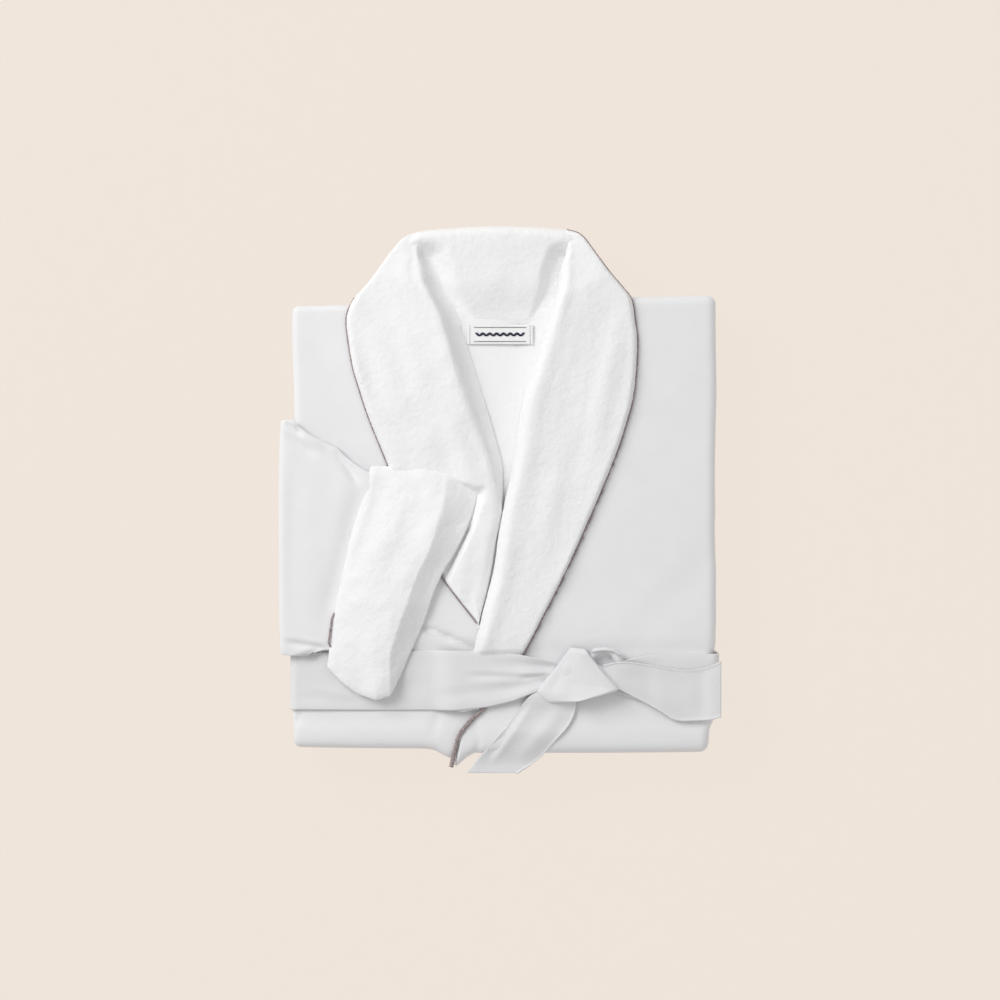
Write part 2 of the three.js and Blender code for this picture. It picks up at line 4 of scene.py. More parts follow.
import bmesh
import bpy
import numpy as np
from bpy.props import FloatProperty, FloatVectorProperty, PointerProperty
from bpy.types import Operator, Panel, PropertyGroup
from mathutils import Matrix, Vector


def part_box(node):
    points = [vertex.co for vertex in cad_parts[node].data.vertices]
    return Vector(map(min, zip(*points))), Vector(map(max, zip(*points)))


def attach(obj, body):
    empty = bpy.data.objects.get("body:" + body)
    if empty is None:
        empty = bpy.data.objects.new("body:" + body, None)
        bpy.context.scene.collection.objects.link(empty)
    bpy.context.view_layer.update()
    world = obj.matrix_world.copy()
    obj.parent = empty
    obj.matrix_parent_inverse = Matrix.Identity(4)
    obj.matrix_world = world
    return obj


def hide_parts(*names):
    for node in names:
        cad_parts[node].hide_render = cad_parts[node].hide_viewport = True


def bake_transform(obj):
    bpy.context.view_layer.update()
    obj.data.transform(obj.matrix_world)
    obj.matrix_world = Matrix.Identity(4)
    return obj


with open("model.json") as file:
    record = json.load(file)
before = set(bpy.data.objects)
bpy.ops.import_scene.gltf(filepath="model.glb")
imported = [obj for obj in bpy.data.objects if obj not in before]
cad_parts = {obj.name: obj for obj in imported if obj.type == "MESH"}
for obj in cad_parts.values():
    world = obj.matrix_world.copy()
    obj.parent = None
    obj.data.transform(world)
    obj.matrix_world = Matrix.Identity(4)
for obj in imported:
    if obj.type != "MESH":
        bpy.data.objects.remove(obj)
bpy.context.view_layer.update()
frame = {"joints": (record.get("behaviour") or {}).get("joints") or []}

bl_info = {
    "name": "Folded bathrobe",
    "version": (1, 0, 0),
    "blender": (4, 5, 0),
    "location": "View3D > Sidebar > Bathrobe",
    "description": "Makes a plush-lined bathrobe folded into a packet, with its belt tied round it",
    "category": "Object",
}

# ---- places taken from the frame, in millimetres ----

MM = 1000.0


def node_box(node):
    """Lowest and highest corner of a CAD node, in millimetres."""
    low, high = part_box(node)
    return np.array(low) * MM, np.array(high) * MM


SHELL_LOW, SHELL_HIGH = node_box("left_front_shell")
UNDERLAP_LOW, UNDERLAP_HIGH = node_box("right_front_shell")
RETURN_LOW, RETURN_HIGH = node_box("left_side_return")
SLEEVE_LOW, SLEEVE_HIGH = node_box("left_sleeve_shell")
UPPER_SLEEVE_LOW, UPPER_SLEEVE_HIGH = node_box("right_sleeve_upper_shell")
FOREARM_LOW, FOREARM_HIGH = node_box("right_forearm_shell")
BELT_LOW, BELT_HIGH = node_box("belt_band")
LABEL_LOW, LABEL_HIGH = node_box("neck_label")
CARRIER_HIGH = node_box("belt_loop_left")[1]

LEFT, RIGHT = UNDERLAP_LOW[0], SHELL_HIGH[0]
SHOULDER, BOTTOM = SHELL_HIGH[1], SHELL_LOW[1]
TOP, UNDER = SHELL_HIGH[2], SHELL_LOW[2]
RIGHT_FRONT_TOP = UNDERLAP_HIGH[2]
BACK_TOP = RIGHT_FRONT_TOP - (TOP - RIGHT_FRONT_TOP)
STRIP = TOP - CARRIER_HIGH[2]
FOLD_GAP = 0.4
LOWER_RADIUS = (TOP - UNDER) / 2
UPPER_RADIUS = (SLEEVE_LOW[2] - FOLD_GAP - UNDER) / 2
RETURN_WIDTH = RETURN_HIGH[0] - RETURN_LOW[0]
BACK_FOLD_INSET = 6.0
HEM_INSET = 32.0
WAIST_LOW, WAIST_HIGH = BELT_LOW[1], BELT_HIGH[1]

# Plan points are laid out from the middle of the packet, which lies this far
# below the shoulder line, on the line of the neck label.
SHOULDER_RISE = 176.0
MIDDLE = np.array([(LABEL_LOW[0] + LABEL_HIGH[0]) / 2, SHOULDER - SHOULDER_RISE])
MID_X, MID_Y = MIDDLE

JOINTS = {joint["name"]: joint for joint in frame["joints"]}


def sizes():
    return bpy.context.scene.bathrobe_sizes


def colours():
    return bpy.context.scene.bathrobe_colours


def hinge(name):
    return np.array(JOINTS[name]["pos_m"]) * MM


# ---- curves, noise and folds ----

def plan(*points):
    """Plan points, moved from the layout's middle into the frame."""
    return np.array(points, float) + MIDDLE


def curve(points, count):
    """A smooth line through some points, as evenly spaced points."""
    points = np.array(points, float)
    ends = np.vstack([2 * points[0] - points[1], points, 2 * points[-1] - points[-2]])
    t = np.linspace(0, 1, 24, endpoint=False)[:, None]
    fine = []
    for a, b, c, d in zip(ends, ends[1:], ends[2:], ends[3:]):
        fine.append(0.5 * (2 * b + (c - a) * t + (2 * a - 5 * b + 4 * c - d) * t ** 2
                           + (3 * b - a - 3 * c + d) * t ** 3))
    fine = np.vstack(fine + [points[-1:]])
    along = np.concatenate([[0], np.cumsum(np.linalg.norm(np.diff(fine, axis=0), axis=1))])
    even = np.linspace(0, along[-1], count)
    return np.stack([np.interp(even, along, fine[:, k]) for k in range(fine.shape[1])], 1)


def half_turn(count):
    """Directions round a half turn whose corners are tighter than a circle's, evenly spaced."""
    turn = np.linspace(0, math.pi, 400)
    out, up = np.sin(turn) ** 0.38, np.sign(np.cos(turn)) * np.abs(np.cos(turn)) ** 0.38
    along = np.concatenate([[0], np.cumsum(np.hypot(np.diff(out), np.diff(up)))])
    even = np.linspace(0, along[-1], count)
    return np.interp(even, along, out), np.interp(even, along, up)


def smooth_step(low, high, value):
    t = np.clip((np.asarray(value, float) - low) / (high - low), 0, 1)
    return t * t * (3 - 2 * t)


def at_height(line, y, axis=1):
    """The other coordinate of a line, where it crosses a given Y (or X)."""
    order = np.argsort(line[:, axis])
    return np.interp(y, line[order, axis], line[order, 1 - axis])


def waves(seed, x, y, size):
    """Smooth seeded unevenness from -1 to 1, in bumps of about the given size."""
    lattice = np.random.RandomState(seed).uniform(-1, 1, (64, 64))
    u, v = np.asarray(x) / size + 17.3, np.asarray(y) / size + 9.1
    i, j = np.floor(u).astype(int), np.floor(v).astype(int)
    fu, fv = u - i, v - j
    fu, fv = fu * fu * (3 - 2 * fu), fv * fv * (3 - 2 * fv)
    a, b = lattice[i % 64, j % 64], lattice[(i + 1) % 64, j % 64]
    c, d = lattice[i % 64, (j + 1) % 64], lattice[(i + 1) % 64, (j + 1) % 64]
    return (a * (1 - fu) + b * fu) * (1 - fv) + (c * (1 - fu) + d * fu) * fv


def crease(x, y, start, end, width, depth, step=0.0):
    """A fold line pressed between two plan points: a groove, a step across it, or both."""
    (ax, ay), (bx, by) = plan(start, end)
    length = math.hypot(bx - ax, by - ay)
    ux, uy = (bx - ax) / length, (by - ay) / length
    along = (x - ax) * ux + (y - ay) * uy
    across = (y - ay) * ux - (x - ax) * uy
    fade = smooth_step(-width, length * 0.25, along)
    fade = fade * smooth_step(-width, length * 0.25, length - along)
    bell = np.exp(-(across / width) ** 2)
    return fade * (-depth * bell + step * (across / width) * bell)


def creases(x, y, *folds):
    """Several fold lines together, each (start, end, width, depth, step)."""
    return sum(crease(x, y, *fold) for fold in folds)


# ---- meshes ----

def grid_faces(rows, columns, close_rows=False, close_columns=False):
    index = np.arange(rows * columns).reshape(rows, columns)
    if close_rows:
        index = np.vstack([index, index[:1]])
    if close_columns:
        index = np.hstack([index, index[:, :1]])
    quads = np.stack([index[:-1, :-1], index[:-1, 1:], index[1:, 1:], index[1:, :-1]], -1)
    return quads.reshape(-1, 4)


def points_at(x, y, z):
    """Points in space from coordinates of which some may be single numbers."""
    return np.stack(np.broadcast_arrays(x, y, z), -1)


def make_piece(name, points, faces, material):
    """A mesh object at the origin from points in millimetres."""
    mesh = bpy.data.meshes.new(name)
    corners = [[int(corner) for corner in face] for face in faces]
    mesh.from_pydata((np.asarray(points).reshape(-1, 3) / MM).tolist(), [], corners)
    mesh.validate()
    piece = bpy.data.objects.new(name, mesh)
    bpy.context.scene.collection.objects.link(piece)
    mesh.materials.append(material)
    mesh.polygons.foreach_set("use_smooth", [True] * len(mesh.polygons))
    return piece


def select_only(piece):
    bpy.ops.object.select_all(action="DESELECT")
    piece.select_set(True)
    bpy.context.view_layer.objects.active = piece


def apply_modifier(piece, kind, **settings):
    select_only(piece)
    modifier = piece.modifiers.new(kind.title(), kind)
    for key, value in settings.items():
        setattr(modifier, key, value)
    bpy.ops.object.modifier_apply(modifier=modifier.name)


def weld(piece, distance, outwards=False):
    """Merges the points that coincide and, where asked, turns every face outwards."""
    work = bmesh.new()
    work.from_mesh(piece.data)
    bmesh.ops.remove_doubles(work, verts=work.verts, dist=distance)
    if outwards:
        bmesh.ops.recalc_face_normals(work, faces=work.faces)
    work.to_mesh(piece.data)
    work.free()


def outward_order(points, faces, facing):
    """The faces, turned over if need be, so that the topmost ones look up (facing 1) or the
    lowest ones look down (facing -1)."""
    corners = points[faces]
    normal = np.cross(corners[:, 2] - corners[:, 0], corners[:, 3] - corners[:, 1])
    level = corners[..., 2].mean(1) * facing
    extreme = level >= np.quantile(level, 0.9)
    return faces if normal[extreme, 2].sum() * facing > 0 else faces[:, ::-1]


def thick_sheet(name, grid, thickness, material, close_rows=False, close_columns=False, facing=1):
    """A cloth from a grid of points on its outer face, given its thickness inwards."""
    rows, columns = grid.shape[:2]
    faces = grid_faces(rows, columns, close_rows, close_columns)
    faces = outward_order(grid.reshape(-1, 3), faces, facing)
    piece = make_piece(name, grid, faces, material)
    weld(piece, 1e-5)
    apply_modifier(piece, "SOLIDIFY", thickness=thickness / MM, offset=-1.0,
                   use_even_offset=False, use_rim=True)
    return piece


def closed_tube(name, rings, material):
    """A closed body from rings of points, with its two ends capped."""
    rows, columns = rings.shape[:2]
    faces = list(grid_faces(rows, columns, close_columns=True))
    points = np.vstack([rings.reshape(-1, 3), rings[0].mean(0), rings[-1].mean(0)])
    first, last = rows * columns, rows * columns + 1
    for k in range(columns):
        n = (k + 1) % columns
        faces.append((first, k, n))
        faces.append((last, (rows - 1) * columns + n, (rows - 1) * columns + k))
    piece = make_piece(name, points, faces, material)
    weld(piece, 1e-6, outwards=True)
    return piece


def cord_rings(path, radius, sides=8):
    """Rings round a line in space."""
    path = np.asarray(path, float)
    tangent = np.gradient(path, axis=0)
    tangent /= np.linalg.norm(tangent, axis=1)[:, None]
    side = np.cross(tangent, [0, 0, 1.0])
    side /= np.maximum(np.linalg.norm(side, axis=1)[:, None], 1e-9)
    lift = np.cross(side, tangent)
    angle = np.linspace(0, 2 * math.pi, sides, endpoint=False)
    radius = np.broadcast_to(np.asarray(radius, float), len(path))[:, None, None]
    return (path[:, None] + radius * (np.cos(angle)[None, :, None] * side[:, None]
                                      + np.sin(angle)[None, :, None] * lift[:, None]))


def roughen(piece, height, size, seed=3):
    """Pushes a mesh's surface in and out by a cloudy pattern, as plush pile lies unevenly."""
    texture = bpy.data.textures.new(f"pile_{seed}_{size:g}", "CLOUDS")
    texture.noise_scale = size / MM
    texture.noise_depth = 2
    apply_modifier(piece, "DISPLACE", texture=texture, strength=2 * height / MM,
                   mid_level=0.5, texture_coords="LOCAL", direction="NORMAL")


def lay_pile(piece, material, voxel, smoothing, seed):
    """Merges a plush piece into one skin, softens it and gives it its uneven pile."""
    pile = sizes().pile_unevenness * MM
    apply_modifier(piece, "REMESH", mode="VOXEL", voxel_size=voxel / MM)
    apply_modifier(piece, "SMOOTH", factor=0.5, iterations=smoothing)
    roughen(piece, pile, 5.0, seed)
    roughen(piece, pile * 0.6, 2.2, seed + 1)
    piece.data.materials.clear()
    piece.data.materials.append(material)


def join_pieces(name, pieces):
    select_only(pieces[0])
    for piece in pieces:
        piece.select_set(True)
    bpy.ops.object.join()
    joined = bpy.context.view_layer.objects.active
    joined.name = name
    joined.data.name = name
    return joined


def finish_piece(piece, body, slot, *nodes):
    if body:
        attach(piece, body)
    if nodes:
        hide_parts(*nodes)
    return piece


# ---- materials ----

class Finish:
    """A cloth's finish: one shader, with the nodes that vary its colour, gloss and bump."""

    def __init__(self, name, colour, roughness, **inputs):
        self.material = bpy.data.materials.get(name) or bpy.data.materials.new(name)
        self.material.use_nodes = True
        self.tree = self.material.node_tree
        self.tree.nodes.clear()
        self.colour = colour
        self.shader = self.node("ShaderNodeBsdfPrincipled", Base_Color=self.shade(1),
                                Roughness=roughness, **inputs)
        self.node("ShaderNodeOutputMaterial", Surface=self.shader.outputs[0])
        self.place = self.node("ShaderNodeTexCoord").outputs["Object"]

    def shade(self, share):
        return (*(channel * share for channel in self.colour), 1)

    def feed(self, socket, value):
        if isinstance(value, bpy.types.NodeSocket):
            self.tree.links.new(value, socket)
        else:
            socket.default_value = value

    def node(self, kind, **inputs):
        """A new node, each of its named inputs set to a value or linked to another's output."""
        node = self.tree.nodes.new(kind)
        for name, value in inputs.items():
            self.feed(node.inputs[name.replace("_", " ")], value)
        return node

    def noise(self, scale, detail=3.0, roughness=0.5, stretch=(1, 1, 1)):
        place = self.node("ShaderNodeMapping", Vector=self.place, Scale=stretch)
        return self.node("ShaderNodeTexNoise", Vector=place.outputs["Vector"], Scale=scale,
                         Detail=detail, Roughness=roughness).outputs["Fac"]

    def tint(self, pattern, low, high, low_at=0.3, high_at=0.7, socket="Base Color"):
        """Varies the colour between two shades of it, by a pattern."""
        ramp = self.node("ShaderNodeValToRGB", Fac=pattern)
        for stop, at, share in zip(ramp.color_ramp.elements, (low_at, high_at), (low, high)):
            stop.position = at
            stop.color = self.shade(share)
        self.feed(self.shader.inputs[socket], ramp.outputs["Color"])

    def bump(self, *layers):
        """Bump layers as (height, strength, distance in millimetres), fine to coarse."""
        normal = None
        for height, strength, distance in layers:
            bump = self.node("ShaderNodeBump", Height=height, Strength=strength, Distance=distance / MM)
            if normal is not None:
                self.feed(bump.inputs["Normal"], normal)
            normal = bump.outputs["Normal"]
        self.feed(self.shader.inputs["Normal"], normal)


def plush_material():
    """Short dense pile: soft tips, slight clumping and a bright edge sheen."""
    pile = Finish("plush_pile", colours().plush, 0.95, Sheen_Weight=0.25,
                  Sheen_Roughness=0.6, Specular_IOR_Level=0.12)
    clumps = pile.noise(230, 3, 0.6)
    both = pile.node("ShaderNodeMath")
    pile.feed(both.inputs[0], clumps)
    pile.feed(both.inputs[1], pile.noise(26, 2))
    pile.tint(both.outputs[0], 0.985, 1, 0.75, 1.15)
    pile.bump((pile.noise(900, 4, 0.7), 0.35, 0.5), (clumps, 0.45, 1.0),
              (pile.noise(95, 3, 0.55), 0.24, 2.0))
    return pile.material


def satin_material(name, colour, sheen=0.12):
    """Smooth brushed microfibre: a very fine weave with a faint lustre."""
    satin = Finish(name, colour, 0.6, Sheen_Weight=sheen, Sheen_Roughness=0.4, Specular_IOR_Level=0.3)
    rubbed = satin.noise(42, 4, 0.55)
    satin.tint(rubbed, 0.975, 1)
    gloss = satin.node("ShaderNodeMapRange", Value=satin.noise(9, 2), To_Min=0.5, To_Max=0.72)
    satin.feed(satin.shader.inputs["Roughness"], gloss.outputs["Result"])
    satin.bump((satin.noise(1500, 2, 0.6, (1, 0.35, 1)), 0.10, 0.15), (rubbed, 0.10, 0.8))
    return satin.material


def shell_material():
    return satin_material("robe_shell_microfibre", colours().shell)


def belt_material():
    return satin_material("belt_microfibre", colours().belt, 0.15)


def piping_material():
    """Twisted grey-brown yarn, darker between its strands."""
    yarn = Finish("piping_yarn", colours().piping, 0.85, Sheen_Weight=0.3)
    strands = yarn.noise(520, 3, 0.6)
    yarn.tint(strands, 0.5, 1.35)
    yarn.bump((yarn.noise(1800, 2), 0.4, 0.2), (strands, 0.6, 0.5))
    return yarn.material


def label_material():
    """White damask ribbon with a very fine woven rib."""
    ribbon = Finish("label_ribbon", colours().label, 0.45)
    ribbon.tint(ribbon.noise(300, 2), 0.96, 1)
    ribs = ribbon.node("ShaderNodeTexWave", Vector=ribbon.place, Scale=700, Distortion=0.4)
    ribbon.bump((ribs.outputs["Fac"], 0.2, 0.1))
    return ribbon.material


def thread_material(name, colour):
    """Fine twisted yarn woven into the label."""
    thread = Finish(name, colour, 0.6)
    twist = thread.noise(1200, 2)
    thread.tint(twist, 0.7, 1.1)
    thread.bump((twist, 0.3, 0.15))
    return thread.material


def floor_material():
    """Matt seamless paper that glows evenly, so that it takes hardly any shadow."""
    paper = Finish("floor_paper", colours().floor, 0.9, Specular_IOR_Level=0,
                   Emission_Strength=0.945)
    paper.shader.inputs["Base Color"].default_value = paper.shade(0.06)
    paper.tint(paper.noise(60, 3), 0.995, 1, socket="Emission Color")
    return paper.material


# ---- the folded body ----

LEFT_ROLL = plan((59, 224), (57, 214), (52.5, 200), (50.5, 184), (41, 150), (31, 117), (20, 82),
                 (13, 35), (5, 0), (-1, -30), (-5, -60), (-14, -95), (-23, -131), (-32, -162), (-38, -186))
LEFT_OUTER = plan((58, 236.5), (71, 231.5), (84, 215), (96, 199), (107, 186), (115, 175), (118, 157),
                  (120, 135), (117, 94), (109, 63), (99, 34), (79, -14), (54, -69), (21, -133),
                  (4, -162), (-12, -182))
RIGHT_ROLL = plan((-70, 221), (-69, 212), (-64, 200), (-61, 186), (-49, 163), (-41, 139), (-29, 102),
                  (-16, 65), (-4, 28), (2, -8), (8, -36), (14, -70), (20, -98), (22, -113))
RIGHT_OUTER = plan((-70, 235.5), (-84, 230), (-96, 217), (-106, 203), (-115, 191), (-127, 177),
                   (-133, 165), (-134, 151), (-129, 118), (-123, 97), (-114, 70), (-99, 33),
                   (-79, -20), (-51, -67), (-19, -108), (-14, -113))
FRONT_EDGE = plan((-11.5, -181), (-24, -192), (-34, -204), (-38, -216), (-42, -234))


def fold_rows(top_step=3.0, hidden_step=7.0):
    """Stations along the folded strip, from the shoulder line round both folds to the hem.

    Each row is (y, z, normal y, normal z, nose, run), on the packet's outer surface. A nose
    above 0 closes the edge at the shoulder line; run counts 0 on top, 1 beneath and 2 inside."""
    half = STRIP / 2
    start = SHOULDER - half
    lower = BOTTOM + LOWER_RADIUS
    upper = SHOULDER - BACK_FOLD_INSET - UPPER_RADIUS
    rows = [(start, TOP, 0, 1, nose, 0) for nose in np.linspace(math.pi / 2, 0, 8)[:-1]]
    for y in np.linspace(start, lower, int((start - lower) / top_step)):
        rows.append((y, TOP, 0, 1, 0, 0))
    out, up = half_turn(40)
    for k in range(1, 39):
        rows.append((lower - LOWER_RADIUS * out[k], UNDER + LOWER_RADIUS * (1 + up[k]),
                     -out[k], up[k], 0, k / 39))
    for y in np.linspace(lower, upper, int((upper - lower) / hidden_step)):
        rows.append((y, UNDER, 0, -1, 0, 1))
    for turn in np.linspace(0, math.pi, 18)[1:-1]:
        ny, nz = math.sin(turn), -math.cos(turn)
        rows.append((upper + UPPER_RADIUS * ny, UNDER + UPPER_RADIUS * (1 + nz), ny, nz, 0,
                     1 + turn / math.pi))
    for y in np.linspace(upper, BOTTOM + HEM_INSET, int((upper - BOTTOM - HEM_INSET) / hidden_step)):
        rows.append((y, UNDER + 2 * UPPER_RADIUS, 0, 1, 0, 2))
    return np.array(rows, float)


def side_wobble(y, side):
    """The turned sides are not quite straight: how far each stands out at a given Y."""
    ease = sizes().fold_unevenness
    rel = y - MID_Y
    if side > 0:
        drift = -4.5 * smooth_step(-188, -205, rel) - 3.0 * np.exp(-((rel + 138) / 7) ** 2)
        return ease * (drift + 1.7 * waves(11, y, 0 * y, 60) + 0.5 * waves(13, y, 0 * y, 19) - 0.6)
    drift = 1.6 * smooth_step(60, 150, rel) - 0.8 * smooth_step(-188, -205, rel)
    return ease * (-0.6 + drift + 1.2 * waves(12, y, 0 * y, 55) + 0.4 * waves(14, y, 0 * y, 18))


def packet_relief(x, y):
    """How far the top of the packet stands above a flat one, in plan."""
    depth = sizes().wrinkle_depth
    ry = y - MID_Y
    crown = 1.4 - 2.4 * np.abs((x - (LEFT + RIGHT) / 2) / (RIGHT - LEFT) * 2) ** 3
    belted = smooth_step(-205, -190, ry) * smooth_step(-120, -134, ry)
    relief = crown - 1.5 * belted + 0.7 * waves(21, x, y, 95) + 0.25 * waves(22, x, y, 34)
    relief += 0.9 * np.exp(-((ry + 110) / 22) ** 2)
    folds = creases(
        x, y,
        ((70, -60), (176, -118), 15, 0.5, 0.9),
        ((100, -128), (184, -40), 18, 0.3, 1.0),
        ((40, -100), (62, -128), 7, 1.2, 0.9),
        ((125, 120), (180, 40), 24, 0.5, 0.9),
        ((-160, 150), (-120, 60), 18, 0.5, 0.8),
        ((-76, -109), (-40, -123), 2.8, 3.2),
        ((-52, -118), (-18, -131), 2.4, 1.8),
        ((-51, -186), (-58, -209), 5, 0.7, 0.9),
        ((-22, -195), (-16, -212), 3.0, 0.9, 1.2),
        ((-16, -210), (-25, -233), 3.0, 0.9, 1.2),
        ((-150, -188), (-110, -214), 9, 0.3, 0.5),
        ((80, -196), (150, -203), 9, 0.3, 0.5),
        ((-176, -185), (-178, -198), 3, 1.4, 0.0))
    return relief + depth * folds


def folded_cloth(edge_x, side, top_depth, turn_depth, column_step=3.0, rows=None):
    """The grid of one cloth of the strip, from its free edge round one side fold.

    top_depth is how deep it lies on the strip's outer side, turn_depth on the side return.
    Where side is 0 the cloth stays flat and edge_x holds both its edges."""
    rows = fold_rows() if rows is None else rows
    middle = (top_depth + turn_depth) / 2
    radius = (turn_depth - top_depth) / 2
    grid = []
    for y, z, ny, nz, nose, run in rows:
        if side:
            limit = RIGHT if side > 0 else LEFT
            limit = limit + side * side_wobble(np.array(y), side)
            bend = limit - side * (STRIP - middle)
            start = edge_x(y, run)
            count = int(abs((RIGHT - LEFT) / 2) / column_step) + 20
            flat_x = start + (bend - start) * np.linspace(0, 1, count)[:-1]
            angle = np.linspace(math.pi / 2, -math.pi / 2, 13)
            arc_x = bend + side * radius * np.cos(angle)
            back_x = np.linspace(bend, limit - side * RETURN_WIDTH, 14)[1:]
            x = np.concatenate([flat_x, arc_x, back_x])
            depth = np.concatenate([
                np.full(len(flat_x), top_depth), middle - radius * np.sin(angle),
                np.full(len(back_x), turn_depth)])
        else:
            start, end = edge_x(y, run)
            count = int((end - start) / column_step) + 1
            x = np.linspace(start, end, count)
            depth = np.full(count, top_depth)
        upward = np.clip((middle - depth) / max(radius, 1e-6), 0, 1) if side else np.ones(len(x))
        lift = packet_relief(x, np.full(len(x), y)) * (run == 0)
        if 0 < run < 1:
            lift = packet_relief(x, np.full(len(x), y)) * max(0.0, math.cos(run * math.pi))
        if run >= 1:
            lift = 0.35 * waves(31, x, np.full(len(x), y), 48)
        offset = lift * upward - depth
        if nose > 0:
            reach = middle - depth
            lifted = packet_relief(x, np.full(len(x), y)) * upward * math.cos(nose)
            row_y = y + np.abs(reach) * math.sin(nose)
            row_z = TOP - middle + reach * math.cos(nose) + lifted
        else:
            row_y = y + offset * ny
            row_z = z + offset * nz
        grid.append(np.stack([x, row_y, row_z], 1))
    return np.array(grid)


def left_front_edge(y, run):
    """Where the left front's free edge lies: under its lapel, then along its piping."""
    if run > 0.45:
        return FRONT_EDGE[-1][0]
    if y > WAIST_LOW + 2:
        return float(at_height(LEFT_ROLL, y)) + 5.0
    return float(at_height(FRONT_EDGE, y)) + 0.6


def right_front_edge(y, run):
    """Where the right front's free edge lies: under its lapel, then under the left front."""
    under = MID_X + 57.0
    low = MID_Y - 8
    if run > 0:
        return under
    if y > low:
        return float(at_height(RIGHT_ROLL, y)) - 5.0
    return float(np.interp(y, [low - 130, low], [under, at_height(RIGHT_ROLL, low) - 5]))


class BATHROBE_OT_fronts(Operator):
    """Make the two fronts, each a smooth shell over its plush lining, with the sides turned under"""

    bl_idname = "bathrobe.fronts"
    bl_label = "Fronts"

    def execute(self, context):
        shell, plush = shell_material(), plush_material()
        cloth = sizes().shell_thickness * MM
        pile = sizes().lining_thickness * MM
        inner = cloth + 0.3
        second = TOP - RIGHT_FRONT_TOP
        coarse = fold_rows(8.0, 12.0)
        pieces = (
            ("front_left_shell", left_front_edge, 1, 0.0, STRIP, cloth, shell, 2.6, None,
             ("left_front_shell", "left_side_return")),
            ("front_left_lining", left_front_edge, 1, inner, STRIP - inner, pile, plush, 8.0, coarse,
             ("left_front_lining",)),
            ("front_right_shell", right_front_edge, -1, second, STRIP, cloth, shell, 2.6, None,
             ("right_front_shell", "right_side_return")),
            ("front_right_lining", right_front_edge, -1, second + inner, STRIP - inner, pile, plush,
             8.0, coarse, ("right_front_lining",)),
        )
        for name, edge, side, top, turn, thickness, material, step, rows, nodes in pieces:
            grid = folded_cloth(edge, side, top, turn, step, rows)
            grid = tilt_shoulder(droop_front_corner(grid, 13 if side > 0 else 9))
            piece = thick_sheet(name, grid, thickness, material)
            finish_piece(piece, "root", "shell" if material is shell else "plush", *nodes)
        return {"FINISHED"}


def droop_front_corner(grid, reach):
    """By the left front's free edge the cloth hangs a little past the bottom fold."""
    x, y = grid[..., 0], grid[..., 1]
    near = np.exp(-((x - FRONT_EDGE[-1][0]) / 12) ** 2)
    low = smooth_step(BOTTOM + 24, BOTTOM, y)
    grid = grid.copy()
    grid[..., 1] = y - reach * near * low
    return grid


def tilt_shoulder(grid):
    """The shoulder line isn't quite square to the sides: its right end stands higher."""
    x, y = grid[..., 0], grid[..., 1]
    share = (x - MID_X) / 190
    grid = grid.copy()
    grid[..., 1] = y + 3.8 * share * smooth_step(SHOULDER - 90, SHOULDER, y)
    return grid


class BATHROBE_OT_back(Operator):
    """Make the back panel: the plush that shows inside the neck, and the shell behind it"""

    bl_idname = "bathrobe.back"
    bl_label = "Back"

    def execute(self, context):
        depth = TOP - BACK_TOP

        def edges(y, run):
            return LEFT + 9.0, RIGHT - 9.0

        def cloth(name, rows, depth, dent, spacing, thickness, material, slot):
            grid = folded_cloth(edges, 0, depth, depth, spacing, rows)
            dents = dent(grid[..., 0] - MID_X, grid[..., 1] - MID_Y)
            grid[..., 2] -= np.where(rows[:, 5:] == 0, dents, 0)
            grid = tilt_shoulder(grid)
            piece = thick_sheet(f"{name}_cloth", grid, thickness * MM, material)
            finish_piece(piece, "root", slot, name)

        def neck_dent(x, y):
            neck = smooth_step(-60, 0, y) * np.exp(-(x / 70) ** 4)
            return 1.2 * neck * (1 - np.abs(waves(41, x, y, 60)))

        rows = fold_rows(2.6, 12.0)
        rows = rows[(rows[:, 4] == 0) & ((rows[:, 5] > 0) | (rows[:, 0] < SHOULDER - 6))]
        lining, shell = sizes().lining_thickness, sizes().shell_thickness
        cloth("back_lining", rows, depth, neck_dent, 2.6, lining, plush_material(), "plush")
        cloth("back_shell", fold_rows(8.0, 12.0)[7:], depth + lining * MM + 0.4,
              lambda x, y: 1.2 + 0 * x, 8.0, shell, shell_material(), "shell")
        return {"FINISHED"}


class BATHROBE_OT_pockets(Operator):
    """Make the two patch pockets on the folded-under part of the fronts"""

    bl_idname = "bathrobe.pockets"
    bl_label = "Pockets"

    def execute(self, context):
        material = shell_material()
        for name, node in (("pocket_left", "left_pocket"), ("pocket_right", "right_pocket")):
            low, high = node_box(node)
            x, y = np.meshgrid(np.linspace(high[0], low[0], 45), np.linspace(low[1], high[1], 62))
            rim = np.minimum(np.minimum(x - low[0], high[0] - x), np.minimum(y - low[1], high[1] - y))
            z = 1.0 - 0.6 * smooth_step(0, 5, rim) + 0.2 * waves(51, x, y, 30)
            hem = np.abs(y - (high[1] - 26))
            z = np.maximum(z + 0.35 * np.exp(-(hem / 1.2) ** 2), 0.15)
            grid = np.stack([x, y, z], -1)
            piece = thick_sheet(name, grid, high[2] - 1.0 - 0.2, material, facing=-1)
            finish_piece(piece, "root", "shell", node)
        return {"FINISHED"}


# ---- collar ----

NECK_FLOOR = 52.6       # the collar reaches down to here where it turns in at the neck
PLUSH_SKIN = 1.6        # fineness of the collar's and the cuff's skin
CUFF_SKIN = 1.3


def under_sleeve(x, y):
    """1 where the turned-back cuff and forearm lie over the robe, 0 away from them."""
    rx, ry = x - MID_X, y - MID_Y
    right = np.interp(ry, [-160, -109, -66, -25, 15], [-88, -67, -50, -30, -17])
    top = np.interp(rx, [-115, -60, -20], [28, 25, 13])
    return smooth_step(right + 9, right + 1, rx) * smooth_step(top, top - 9, ry)


